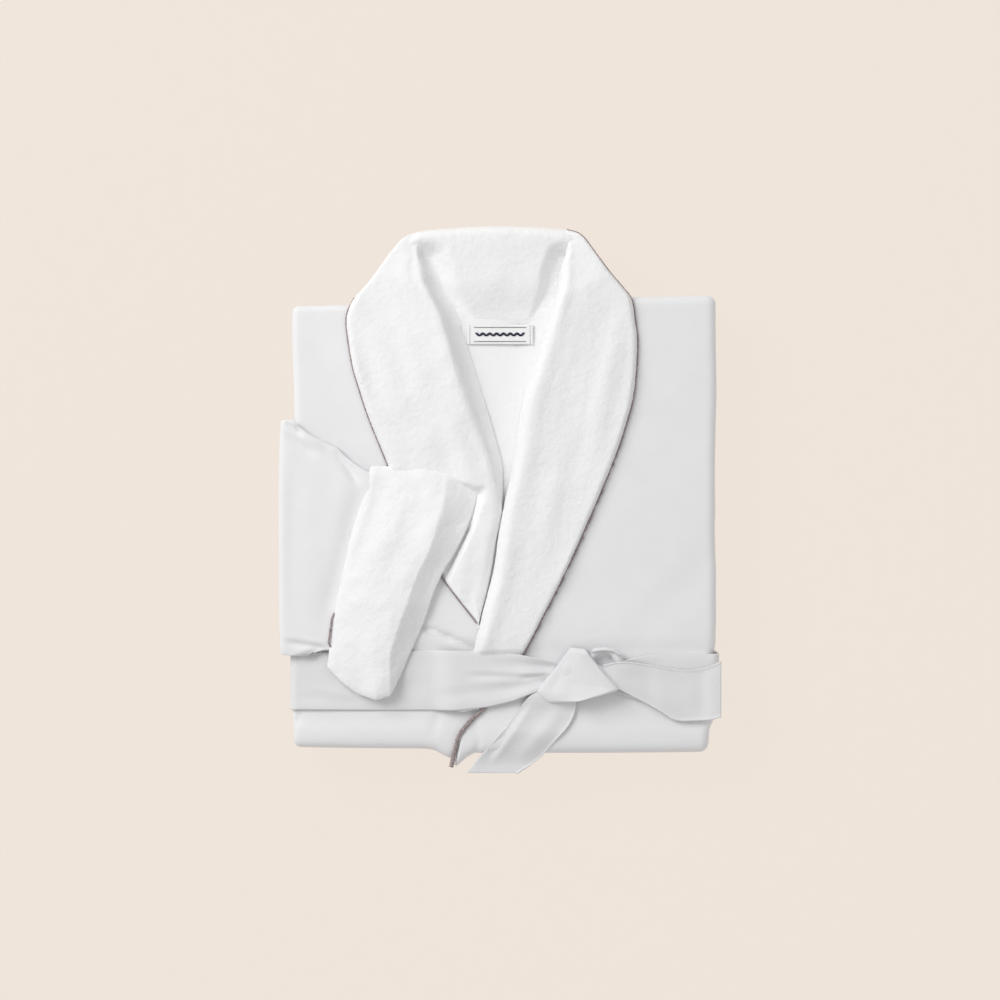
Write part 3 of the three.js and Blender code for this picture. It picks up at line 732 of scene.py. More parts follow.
def lapel_rings(roll, outer, base, sections, height, inner_low, seed, pressed, slope):
    """Cross-sections of a lapel: a soft roll on its inner side, thinning to its outer edge.

    slope tells how far the roll's inner wall leans into the neck, along the lapel."""
    inner, edge = curve(roll, sections), curve(outer, sections)
    across = np.linspace(0, 1, 30)
    rings = []
    for k in range(sections):
        t = k / (sections - 1)
        step = edge[k] - inner[k]
        width = max(np.linalg.norm(step), 1e-6)
        tall, lean = np.interp(t, *height), np.interp(t, *slope)
        roll_share = min(0.45, 9.0 / width)
        body = np.where(across < roll_share,
                        np.sqrt(np.clip(1 - (1 - across / roll_share) ** 2, 0, 1)), 1.0)
        thin = 1 - 0.16 * smooth_step(0.25, 0.95, across)
        lip = np.sqrt(np.clip(1 - np.clip((across - 0.955) / 0.045, 0, 1) ** 2, 0, 1))
        x, y = (inner[k] + across[:, None] * step).T
        soft = 0.9 * waves(seed, x, y, 34) + 0.4 * waves(seed + 1, x, y, 13)
        soft += 1.7 * waves(seed + 2, across * width, np.full(len(x), k * 0.42), 15)
        rise = np.maximum(tall + soft * (tall > 4), 1.6)
        rise = rise * (1 - pressed(x, y)) + 1.9 * pressed(x, y)
        swell = 1 + 0.2 * np.exp(-((across - roll_share) / 0.12) ** 2)
        rise = rise * thin * (0.25 + 0.75 * body * swell) * (0.35 + 0.65 * lip)
        seat = base + packet_relief(x, y)
        back = np.linspace(1, 0.12, 10)
        under = np.column_stack([inner[k] + back[:, None] * step, np.interp(back, across, seat + 0.35)])
        floor = inner_low(inner[k])
        reach, share = np.array([(-3.4, 0), (lean - 0.8, 0), (lean, 0.08), (lean * 0.62, 0.3),
                                 (lean * 0.25, 0.7)]).T
        foot = np.column_stack([inner[k] - reach[:, None] * step / width,
                                floor + (seat[0] + rise[0] - floor) * share])
        rings.append(np.vstack([points_at(x, y, seat + rise), under, foot]))
    return np.array(rings)


def stand_rings(sections=76):
    """Cross-sections of the collar behind the neck, from its seam up over its rolled top."""
    seam, crest = MID_Y + 153, MID_Y + 240.5
    rings = []
    for x in np.linspace(MID_X - 92, MID_X + 80, sections):
        rx = x - MID_X
        top_y = crest - 0.0009 * rx ** 2 - 14 * smooth_step(-68, -96, rx) - 16 * smooth_step(58, 84, rx)
        t = np.linspace(0, 1, 34)
        y = seam + (top_y - seam) * t
        soft = 0.8 * waves(61, x, y, 30) + 0.35 * waves(62, x, y, 12)
        rise = 52.2 + 10.5 * smooth_step(0, 0.5, t) + 2.6 * smooth_step(0.45, 0.9, t)
        # the dents beside the rolled lapels
        below_crest = smooth_step(MID_Y + 228, MID_Y + 212, y)
        rise -= 11.0 * below_crest * smooth_step(26, 8, x - at_height(RIGHT_ROLL, y))
        rise -= 10.5 * below_crest * smooth_step(19, 5, at_height(LEFT_ROLL, y) - x)
        rise = np.maximum(rise, 52.2) + soft * smooth_step(0, 0.2, t)
        drop = np.sqrt(np.clip(1 - np.clip((t - 0.9) / 0.1, 0, 1) ** 2, 0, 1))
        back = np.linspace(0.985, 0.0, 14)
        low = 50.8 - 2.6 * smooth_step(0.2, 0.4, back)
        rings.append(np.vstack([points_at(x, y, 51.4 + (rise - 51.4) * drop),
                                points_at(x, seam + (top_y - seam) * back, low)]))
    return np.array(rings)


class BATHROBE_OT_collar(Operator):
    """Make the plush shawl collar: the stand behind the neck and both lapels"""

    bl_idname = "bathrobe.collar"
    bl_label = "Collar"

    def execute(self, context):
        plush = plush_material()
        opening = MID_Y - 8

        def left_floor(point):
            return NECK_FLOOR if point[1] > opening else RIGHT_FRONT_TOP + 3.2

        def under_belt(x, y):
            return 0.75 * smooth_step(WAIST_HIGH + 3, WAIST_HIGH - 4, y)

        left_height = ([0, 0.04, 0.12, 0.3, 0.7, 1], [3.0, 6.0, 10.8, 10.2, 9.0, 7.5])
        left_slope = ([0, 0.1, 0.4, 0.6, 1], [1.0, 1.6, 1.6, 1.2, 0.8])
        rings = lapel_rings(LEFT_ROLL, LEFT_OUTER, TOP, 190, left_height, left_floor, 71,
                            under_belt, left_slope)
        left = closed_tube("collar_left", rings, plush)
        lay_pile(left, plush, PLUSH_SKIN, 2, 3)
        finish_piece(left, "root", "plush", "collar_facing_left")

        roll = RIGHT_ROLL.copy()
        limit = at_height(LEFT_ROLL, roll[:, 1]) - 1.2
        below = roll[:, 1] < opening + 2
        roll[below, 0] = np.minimum(roll[below, 0], limit[below])
        outer = RIGHT_OUTER.copy()
        outer[:, 0] = np.minimum(outer[:, 0], at_height(LEFT_ROLL, outer[:, 1]) - 1.8)
        right_height = ([0, 0.04, 0.13, 0.3, 0.7, 1], [6.0, 9.5, 16.0, 14.5, 9.5, 7.0])
        right_slope = ([0, 0.05, 0.15, 0.35, 0.58, 0.68, 1], [8.0, 12.0, 14.0, 13.0, 8.0, 0.8, 0.8])
        rings = lapel_rings(roll, outer, RIGHT_FRONT_TOP, 190, right_height, lambda point: NECK_FLOOR,
                            81, under_sleeve, right_slope)
        right = closed_tube("collar_right", rings, plush)
        stand = closed_tube("collar_stand", stand_rings(), plush)
        right = join_pieces("collar_right", [right, stand])
        lay_pile(right, plush, PLUSH_SKIN, 2, 5)
        finish_piece(right, "root", "plush", "collar_facing_right", "collar_facing_back")
        return {"FINISHED"}


class BATHROBE_OT_under_collar(Operator):
    """Make the smooth under side of the collar, which shows behind the neck and as a thin edge"""

    bl_idname = "bathrobe.under_collar"
    bl_label = "Under collar"

    def execute(self, context):
        x = np.linspace(MID_X - 104, MID_X + 92, 60)[:, None]
        t = np.linspace(0, 1, 26)
        rx = x - MID_X
        top_y = (MID_Y + 239.6 - 0.0009 * rx ** 2 - 26 * smooth_step(-66, -104, rx)
                 - 30 * smooth_step(56, 92, rx))
        y = SHOULDER - 3 + (top_y - SHOULDER + 3) * t
        grid = points_at(x, y, 46.0 + 1.2 * waves(65, x, y, 40) + 7.0 * smooth_step(0.86, 1, t))
        piece = thick_sheet("under_collar_back_cloth", grid, 1.0, shell_material(), facing=-1)
        finish_piece(piece, "root", "shell", "under_collar_back", "under_collar_left",
                     "under_collar_right")
        return {"FINISHED"}


# ---- piping ----

def piping_line(points, base, count):
    line = curve(points, count)
    level = base + packet_relief(line[:, 0], line[:, 1]) + 1.6
    return np.column_stack([line, level])


def fuzzy_piping(name, line, radius, material):
    """A piping cord whose surface is slightly twisted and hairy."""
    length = np.arange(len(line))
    twist = 1 + 0.12 * np.sin(length * 1.7) + 0.1 * waves(91, length * 1.0, length * 0.0, 2.3)
    return closed_tube(name, cord_rings(line, radius * twist), material)


class BATHROBE_OT_piping(Operator):
    """Make the grey-brown piping along the collar's outer edges and the left front's edge"""

    bl_idname = "bathrobe.piping"
    bl_label = "Piping"

    def execute(self, context):
        material = piping_material()
        radius = sizes().piping_radius * MM
        outward = LEFT_OUTER.copy()
        outward[:, 0] += 0.5
        path = np.vstack([outward[:-1], FRONT_EDGE + [-0.8, 0.0]])
        line = piping_line(path, TOP, 560)
        over = smooth_step(BOTTOM + 26, BOTTOM - 12, line[:, 1])
        line[:, 2] -= 6.0 * over
        rel = line[:, 1] - MID_Y
        thin = np.interp(rel, [-240, -185, -100, 40, 120, 200], [2.2, 1.9, 1.4, 1.3, 0.8, 0.5])
        ragged = smooth_step(60, 30, rel) * smooth_step(-125, -100, rel)
        line[:, 0] += 0.9 * ragged * waves(92, rel, 0 * rel, 4)
        piece = fuzzy_piping("piping_left", line, radius * thin, material)
        finish_piece(piece, "root", "piping", "collar_piping_left")
        outer = RIGHT_OUTER.copy()
        outer[:, 0] = np.minimum(outer[:, 0], at_height(LEFT_ROLL, outer[:, 1]) - 2.5) - 0.5
        line = piping_line(outer[5:-1], RIGHT_FRONT_TOP, 380)
        line[:, 2] -= 0.4 * under_sleeve(line[:, 0], line[:, 1])
        piece = fuzzy_piping("piping_right", line, radius * 0.8, material)
        finish_piece(piece, "root", "piping", "collar_piping_right")
        return {"FINISHED"}


# ---- label ----

def strap(name, x0, x1, y0, y1, z, thickness, material, bow=0.0, step=1.2):
    """A small flat strap lying in plan, slightly bowed."""
    columns = max(4, int((x1 - x0) / step))
    rows = max(4, int((y1 - y0) / step))
    x, y = np.meshgrid(np.linspace(x0, x1, columns), np.linspace(y1, y0, rows))
    u = (x - x0) / (x1 - x0) * 2 - 1
    level = z + bow * (1 - u ** 4) + 0.12 * waves(95, x, y, 14)
    return thick_sheet(name, np.stack([x, y, level], -1), thickness, material)


class BATHROBE_OT_label(Operator):
    """Make the woven neck label with its plain border, its motif and the hanging loop under it"""

    bl_idname = "bathrobe.label"
    bl_label = "Neck label"

    def execute(self, context):
        ribbon = label_material()
        navy = thread_material("label_navy_thread", (0.03, 0.035, 0.07))
        grey = thread_material("label_grey_thread", (0.33, 0.33, 0.35))
        low, high = LABEL_LOW, LABEL_HIGH
        level = high[2] + 0.7
        label = strap("label_ribbon", low[0], high[0], low[1], high[1], level, 0.7, ribbon, 0.5, 0.8)
        finish_piece(label, "root", "label", "neck_label")
        loop_low, loop_high = node_box("hang_loop")
        loop = strap("hanging_loop", loop_low[0], loop_high[0], loop_low[1], loop_high[1],
                     loop_high[2], 0.7, belt_material())
        finish_piece(loop, "root", "belt", "hang_loop")
        inset, line = 2.2, 0.45
        x0, x1 = low[0] + 6.0, high[0] - 6.0
        y0, y1 = low[1] + inset, high[1] - inset
        parts = [
            strap("edge", x0, x1, y0, y0 + line, level + 0.45, 0.3, navy, 0.4, 0.4),
            strap("edge", x0, x1, y1 - line, y1, level + 0.45, 0.3, navy, 0.4, 0.4),
        ]
        for sprig in range(-3, 4):
            middle = (x0 + x1) / 2 + sprig * 6.0
            for lean in (-1, 1):
                parts.append(leaf(middle, (y0 + y1) / 2, level + 0.95, lean, navy))
        motif = join_pieces("label_motif", parts)
        finish_piece(motif, "root", "label")
        stitches = []
        for x in (low[0] + 2.6, high[0] - 2.6):
            for k in range(8):
                y = low[1] + 1.4 + k * (high[1] - low[1] - 2.8) / 7
                stitches.append(strap("stitch", x - 0.25, x + 0.25, y - 0.65, y + 0.65,
                                      level + 0.35, 0.3, grey, 0.1, 0.2))
        seam = join_pieces("label_stitching", stitches)
        finish_piece(seam, "root", "label")
        return {"FINISHED"}


def leaf(x, y, z, lean, material):
    """One small woven leaf of the label's border pattern."""
    angle = np.linspace(0, 2 * math.pi, 14, endpoint=False)
    ux, uy = math.cos(0.9 * lean + math.pi / 2), math.sin(0.9 * lean + math.pi / 2)
    along, across = 2.5 * np.cos(angle), 1.05 * np.sin(angle)
    px = x + ux * (along + 2.1) - uy * across
    py = y - 1.2 + uy * (along + 2.1) + ux * across
    low = np.stack([px, py, np.full(14, z - 0.35)], 1)
    high = np.stack([px, py, np.full(14, z)], 1)
    return closed_tube("leaf", np.array([low, high]), material)


# ---- sleeves ----

SLEEVE_WALL = 1.6


def flat_ring(low_edge, high_edge, normal, thickness, count=64, square=0.55):
    """A flattened ring between two edge points, with soft rounded long edges."""
    angle = np.linspace(0, 2 * math.pi, count, endpoint=False)
    middle = (low_edge + high_edge) / 2
    span = (high_edge - low_edge) / 2
    c, s = np.cos(angle), np.sin(angle)
    across = np.sign(c) * np.abs(c) ** 0.8
    up = np.sign(s) * np.abs(s) ** square
    return middle + across[:, None] * span + (up * thickness / 2)[:, None] * normal


def sleeve_stations():
    """The right sleeve, from its hidden end, round the packet's left side, to under its cuff."""
    bend_x = hinge("sleeve_lift")[0]
    low_z, high_z = UPPER_SLEEVE_LOW[2], FOREARM_HIGH[2]
    thick = SLEEVE_HIGH[2] - SLEEVE_LOW[2]
    centre_z = (low_z + high_z) / 2
    radius = (high_z - low_z) / 2 - thick / 2
    low_y, high_y = UPPER_SLEEVE_LOW[1], UPPER_SLEEVE_HIGH[1]
    stations = []
    for x in np.linspace(UPPER_SLEEVE_HIGH[0], bend_x, 26)[:-1]:
        z = low_z + thick / 2
        stations.append(((x, low_y, z), (x, high_y, z), (0, 0, -1), thick, 0.0))
    out, up = half_turn(36)
    for k, (away, over) in enumerate(zip(out, -up)):
        x, z = bend_x - radius * away, centre_z + radius * over
        stations.append(((x, low_y - 3.5 * k / 35, z), (x, high_y, z), (-away, 0, over), thick, k / 35))
    high_edge = plan((-178, 66), (-166, 57), (-154, 51), (-143, 46), (-135, 38), (-126, 31), (-114, 24),
                     (-102, 14), (-84, 4), (-66, 0))
    low_edge = plan((-178, -136), (-168, -136), (-160, -133), (-152, -131), (-144, -132), (-136, -136),
                    (-128, -142), (-118, -148), (-108, -152), (-98, -150))
    count = 60
    high_line, low_line = curve(high_edge, count), curve(low_edge, count)
    for k in range(count):
        t = (k + 1) / count
        swell = 1.0 + 1.6 * smooth_step(0.0, 0.55, t)
        z = high_z - thick / 2 + 0.6 * smooth_step(0, 0.5, t)
        stations.append(((*low_line[k], z), (*high_line[k], z), (0, 0, 1), thick + swell - 1.0, 1.0 + t))
    return stations


class BATHROBE_OT_right_sleeve(Operator):
    """Make the right sleeve, one flattened tube from under the front round to its cuff"""

    bl_idname = "bathrobe.right_sleeve"
    bl_label = "Right sleeve"

    def execute(self, context):
        depth = sizes().wrinkle_depth
        rings = []
        for low, high, normal, thickness, run in sleeve_stations():
            normal = np.array(normal, float)
            ring = flat_ring(np.array(low), np.array(high), normal, thickness, 150)
            outer = ((ring - (np.array(low) + np.array(high)) / 2) @ normal) > 0
            x, y = ring[:, 0], ring[:, 1]
            if run > 0.6:
                folds = creases(
                    x, y,
                    ((-190, -122), (-150, -128), 3.5, 0.9, 2.6),
                    ((-188, -141), (-160, -130), 3.0, 0.9, 2.0),
                    ((-192, 62), (-160, 42), 6.0, 1.0, 2.4),
                    ((-190, 68), (-173, 57), 2.5, 3.0),
                    ((-160, 48), (-124, 18), 7.0, 1.8, -1.6),
                    ((-142, 44), (-122, 14), 4.0, 2.0, 1.4),
                    ((-120, 18), (-153, -112), 9.0, 2.6),
                    ((-176, 30), (-180, -110), 16.0, 0.5, 1.2))
                folds += 0.6 * waves(101, x, y, 55) + 0.25 * waves(102, x, y, 20)
                lift = depth * folds * smooth_step(0.6, 1.0, run)
                lift += 1.2 * smooth_step(1.25, 1.5, run)
                ring += np.where(outer, lift, 0)[:, None] * normal
            rings.append(ring)
        grid = np.array(rings)
        piece = thick_sheet("sleeve_right", grid, SLEEVE_WALL, shell_material(), close_columns=True)
        weld(piece, 1e-6, outwards=True)
        finish_piece(piece, None, "shell", "right_sleeve_upper_shell", "right_sleeve_upper_lining",
                     "right_forearm_shell", "right_forearm_lining")
        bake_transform(piece)
        return {"FINISHED"}


CUFF_FREE = plan((-113, 30), (-118, 12), (-122, -6), (-130, -28), (-135, -52), (-140, -72), (-145, -99),
                 (-149, -128), (-152, -144))
CUFF_RIDGE = plan((-48, 15), (-52, -6), (-58, -28), (-64, -46), (-73, -64), (-81, -87), (-90, -112),
                  (-97, -140), (-99, -160))
CUFF_TURNED = plan((-20, 13), (-22, -6), (-30, -28), (-40, -48), (-51, -66), (-59, -86), (-67, -109),
                   (-75, -126), (-88, -156))


def cuff_outline_ends(t):
    """How far the cuff's two ends reach beyond its sections, along a share t of its width."""
    top = np.interp(t, [0, 0.15, 0.45, 0.7, 0.85, 1], [0, 3.0, 7.5, 8.5, 9.5, 5])
    tip = np.interp(t, [0, 0.12, 0.3, 0.5, 0.65, 0.8, 1], [2, 12, 20, 20, 13, 8, 0])
    return top, tip


class BATHROBE_OT_cuff(Operator):
    """Make the turned-back plush cuff, a hollow band over the end of the right sleeve"""

    bl_idname = "bathrobe.cuff"
    bl_label = "Turned-back cuff"

    def execute(self, context):
        plush = plush_material()
        sections, around = 90, 150
        free, ridge, turned = (curve(line, 60) for line in (CUFF_FREE, CUFF_RIDGE, CUFF_TURNED))
        share = np.linspace(0, 1, sections)
        floor = FOREARM_LOW[2] + 0.1
        rings = []
        for a in share:
            if a < 0.68:
                line = free + (ridge - free) * (a / 0.68)
            else:
                line = ridge + (turned - ridge) * ((a - 0.68) / 0.32)
            top, tip = cuff_outline_ends(a)
            first, last = line[0].copy(), line[-1].copy()
            first[1] += top
            last += np.array([0.25, -0.95]) * tip
            line = curve(np.vstack([first, line[4:-6:6], last]), 60)
            tall = np.interp(a, [0, 0.06, 0.25, 0.6, 0.7, 0.8, 0.9, 1],
                             [8.5, 11.0, 15.0, 19.3, 19.3, 14.0, 9.5, 5.5])
            angle = np.linspace(0, 2 * math.pi, around, endpoint=False)
            c, s = np.cos(angle), np.sin(angle)
            where = (np.sign(c) * np.abs(c) ** 0.8 + 1) / 2
            up = np.sign(s) * np.abs(s) ** 0.42
            x = np.interp(where, np.linspace(0, 1, 60), line[:, 0])
            y = np.interp(where, np.linspace(0, 1, 60), line[:, 1])
            soft = 0.9 * waves(111, x, y, 30) + 0.7 * waves(112, x, y, 11)
            soft += 1.9 * waves(113, np.full(len(x), a * 60), where * 40, 11) * smooth_step(0, 0.15, a)
            ends = 1 - 0.25 * np.abs(2 * where - 1) ** 3
            z = floor + tall * ends * (up + 1) / 2 + soft * (up > 0) * (a > 0.02)
            rings.append(np.stack([x, y, z], 1))
        piece = thick_sheet("cuff_right", np.array(rings), 2.2, plush, close_columns=True)
        lay_pile(piece, plush, CUFF_SKIN, 3, 7)
        finish_piece(piece, "right_sleeve", "plush", "right_cuff")
        line = curve(CUFF_FREE, 220)[16:]
        rel = line[:, 1] - MID_Y
        shown = smooth_step(-88, -104, rel) * smooth_step(-134, -124, rel)
        line[:, 0] += 6.0 - 6.9 * shown
        line = np.column_stack([line, FOREARM_HIGH[2] - 2.5 + 4.7 * shown])
        cord = fuzzy_piping("cuff_piping", line, sizes().piping_radius * MM,
                            piping_material())
        finish_piece(cord, "right_sleeve", "piping", "right_cuff_piping")
        return {"FINISHED"}


class BATHROBE_OT_left_sleeve(Operator):
    """Make the left sleeve and its cuff, which lie folded in behind the front"""

    bl_idname = "bathrobe.left_sleeve"
    bl_label = "Left sleeve"

    def execute(self, context):
        low, high = SLEEVE_LOW, SLEEVE_HIGH
        cuff_low, cuff_high = node_box("left_cuff")
        spans = (
            ("sleeve_left", low[0], high[0] - 2, shell_material(), "shell",
             ("left_sleeve_shell", "left_sleeve_lining"), 6.4),
            ("cuff_left", cuff_low[0], cuff_high[0], plush_material(), "plush", ("left_cuff",), 6.6),
        )
        for name, x0, x1, material, slot, nodes, thickness in spans:
            rings = []
            for x in np.linspace(x0, x1, 40):
                z = (low[2] + high[2]) / 2
                ring = flat_ring(np.array([x, low[1] + 1, z]), np.array([x, high[1] - 1, z]),
                                 np.array([0, 0, 1.0]), thickness, 90)
                ring[:, 2] += 0.1 * waves(121, ring[:, 0], ring[:, 1], 40)
                rings.append(ring)
            grid = np.array(rings)
            piece = thick_sheet(name, grid, SLEEVE_WALL, material, close_columns=True)
            weld(piece, 1e-6, outwards=True)
            finish_piece(piece, "root", slot, *nodes)
        return {"FINISHED"}


# ---- belt ----

BAND_SHOULDER = 5.6     # the belt turns down this far inside the packet's sides
BAND_CORNER = 7.0       # and round this radius
BAND_TOP = plan((-184, -133.2), (-120, -133.0), (-60, -131.0), (-20, -132.0), (16, -134.5), (38, -139.0),
                (54, -143.0), (70, -148), (84, -152))
BAND_LOW = plan((-184, -184.0), (-120, -184.3), (-40, -184.2), (-11, -181.0), (12, -175.5), (29, -168.5),
                (44, -164), (60, -162), (84, -160))
BAND_TOP_RIGHT = plan((84, -146), (100, -142), (124, -136.5), (140, -133.6), (185, -134.6), (192, -134.6))
BAND_LOW_RIGHT = plan((84, -164), (100, -168), (124, -176), (140, -181), (185, -184), (192, -184))


def belt_thickness():
    return sizes().belt_thickness * MM


def corner(x, z, radius, start, count):
    """A quarter turn of the belt seen along Y, clockwise from a start in quarters past the top."""
    turn = (start + np.linspace(0, 1, count)) * math.pi / 2
    return np.column_stack([x + radius * np.sin(turn), z + radius * np.cos(turn)])


class BATHROBE_OT_belt_band(Operator):
    """Make the belt's run round the packet, gathered where it enters the knot"""

    bl_idname = "bathrobe.belt_band"
    bl_label = "Belt band"

    def execute(self, context):
        thick = belt_thickness()
        t = np.linspace(0, 1, 40)

        # over the top, from side to side
        x = np.linspace(LEFT + BAND_SHOULDER, RIGHT - BAND_SHOULDER, 190)[:, None]
        step_up = (TOP - RIGHT_FRONT_TOP) * smooth_step(MID_X - 62, MID_X - 44, x)
        lapels = 2.9 * smooth_step(MID_X - 58, MID_X - 36, x) * smooth_step(MID_X + 46, MID_X + 22, x)
        z = RIGHT_FRONT_TOP + thick + 0.6 + step_up + lapels
        z = z + packet_relief(x, (WAIST_LOW + WAIST_HIGH) / 2)
        before_knot = x < MID_X + 84
        low = np.where(before_knot, at_height(BAND_LOW, x, 0), at_height(BAND_LOW_RIGHT, x, 0))
        high = np.where(before_knot, at_height(BAND_TOP, x, 0), at_height(BAND_TOP_RIGHT, x, 0))
        y = low + (high - low) * t
        gather = smooth_step(-30, 50, x - MID_X) * smooth_step(150, 95, x - MID_X)
        level = z + gather * (1.5 + 1.9 * np.sin(2 * math.pi * (2.1 * t + 0.15)))
        level = level + 0.35 * waves(131, x * 0.5, y, 13) + 0.25 * waves(132, x, y, 40)
        level += creases(
            x, y,
            ((-30, -152), (42, -154), 3.6, 1.4, 1.4),
            ((-60, -170), (20, -160), 6.0, 0.8, 0.9),
            ((-150, -150), (-60, -160), 8.0, 0.6, 0.9),
            ((-176, -170), (-120, -176), 6.0, 0.6, 0.7),
            ((18, -155), (45, -152), 2.0, 1.6, 0.6))
        for seam in (y - high + 2.2, y - low - 2.2):
            level -= 0.35 * np.exp(-(seam / 0.8) ** 2)
        level -= 0.7 * (1 - smooth_step(0, 0.035, np.minimum(t, 1 - t)))
        top = points_at(x, y, level)

        # down the right side, along the underside and up the left side
        right, left = RIGHT + thick + 0.55, LEFT - thick - 0.55
        first, last = z[0, 0] - BAND_CORNER, z[-1, 0] - BAND_CORNER
        round_x, round_z = np.vstack([
            corner(right - BAND_CORNER, last, BAND_CORNER, 0, 9)[1:],
            np.linspace((right, last), (right, UNDER + 6), 16)[1:],
            corner(right - 6, 6.1, 6, 1, 8)[1:],
            np.linspace((right - 6, 0.1), (left + 6, 0.1), 70)[1:-1],
            corner(left + 6, 6.1, 6, 2, 8),
            np.linspace((left, UNDER + 6), (left, first), 16)[1:],
            corner(left + BAND_CORNER, first, BAND_CORNER, 3, 9)[1:-1],
        ]).T[..., None]
        high = WAIST_HIGH - 1.4 * (round_x - LEFT) / (RIGHT - LEFT)
        rest = points_at(round_x, WAIST_LOW + (high - WAIST_LOW) * t, round_z)

        grid = np.vstack([top, rest])
        piece = thick_sheet("belt_round_packet", grid, thick * 0.8, belt_material(), close_rows=True)
        finish_piece(piece, "root", "belt", "belt_band")
        return {"FINISHED"}


def surface_patch(name, outline_low, outline_high, height, thickness, material, rows=70, across=40):
    """A cloth patch in plan between two long edges, at a height given over the plan."""
    low, high = curve(outline_low, rows), curve(outline_high, rows)
    t = np.linspace(0, 1, across)[None, :, None]
    flat = low[:, None] * (1 - t) + high[:, None] * t
    z = height(flat[..., 0], flat[..., 1], np.linspace(0, 1, rows)[:, None], t[..., 0])
    grid = np.concatenate([flat, z[..., None]], -1)
    return thick_sheet(name, grid, thickness, material), grid


class BATHROBE_OT_knot(Operator):
    """Make the belt's knot: the wide wrap across it and the small curl beside it"""

    bl_idname = "bathrobe.knot"
    bl_label = "Belt knot"

    def execute(self, context):
        material = belt_material()
        thick = belt_thickness()
        base = TOP + thick + 1.2

        # the wide wrap: a triangle of cloth folded over the knot, highest along its right edge
        def wrap_height(x, y, s, t):
            turned = np.clip(1 - np.abs(2 * t - 1) ** 14, 0, 1) ** 0.5
            ends = np.clip(1 - np.abs(2 * s - 1) ** 16, 0, 1) ** 0.5
            tall = 2.8 + 12.0 * t + 1.2 * s
            fold = creases(x, y, ((66, -132), (44, -170), 5, 0.8, 0.6),
                           ((72, -134), (90, -164), 4.5, 0.7, 0.5))
            return base + 0.3 + (tall + fold) * turned * ends + 0.35 * waves(141, x, y, 16)

        wrap = surface_patch(
            "knot_wrap",
            plan((61.5, -128.3), (58, -133), (46, -149), (32, -165), (31, -168), (37, -173.5),
                 (43.7, -177.8)),
            plan((73.5, -129.5), (76, -132), (90, -148.5), (103.5, -163), (103.5, -165.5), (92, -169.5),
                 (66, -176)),
            wrap_height, thick * 0.9, material, 120, 70)[0]

        # the body of the knot under the wrap
        a = np.linspace(0, 1, 30)[:, None]
        size = np.sqrt(np.maximum(0.02, 1 - (2 * a - 1) ** 4))
        angle = np.linspace(0, 2 * math.pi, 24, endpoint=False)
        core = closed_tube("knot_core", points_at(
            MID_X + 54 + 40 * a, MID_Y - 152 - 6 * (a - 0.5) + 11.0 * size * np.cos(angle),
            base + 4.5 + 3.0 * size * np.sin(angle)), material)

        # the curl standing beside the wrap, and the fold that runs down from it
        def curl_height(x, y, s, t):
            return base + 1.5 + 4.0 * np.sin(math.pi * np.clip(t * 0.9 + 0.1, 0, 1)) * np.sin(
                math.pi * np.clip(s * 0.85 + 0.12, 0, 1)) + 0.4 * waves(151, x, y, 8)

        curl = surface_patch(
            "knot_curl",
            plan((80, -141), (86, -136), (92, -134.5), (97, -137), (100, -143), (100, -152),
                 (97.5, -158)),
            plan((79, -133), (87, -131), (96, -130.5), (104, -132.5), (108, -140), (107.5, -149),
                 (103, -159)),
            curl_height, thick * 0.9, material, 60, 26)[0]
        lip = surface_patch(
            "knot_lip",
            plan((80, -134), (86, -132.5), (92, -132), (98, -133), (103, -136)),
            plan((81, -129.3), (87, -128.2), (93, -128.4), (100, -129.8), (106.5, -133.5)),
            lambda x, y, s, t: base + 5.5 + 2.2 * np.sin(math.pi * t) + 1.5 * np.sin(math.pi * s),
            thick * 0.8, material, 30, 18)[0]
        knot = join_pieces("belt_knot_wrap", [wrap, core, curl, lip])
        finish_piece(knot, "root", "belt", "belt_knot")
        return {"FINISHED"}


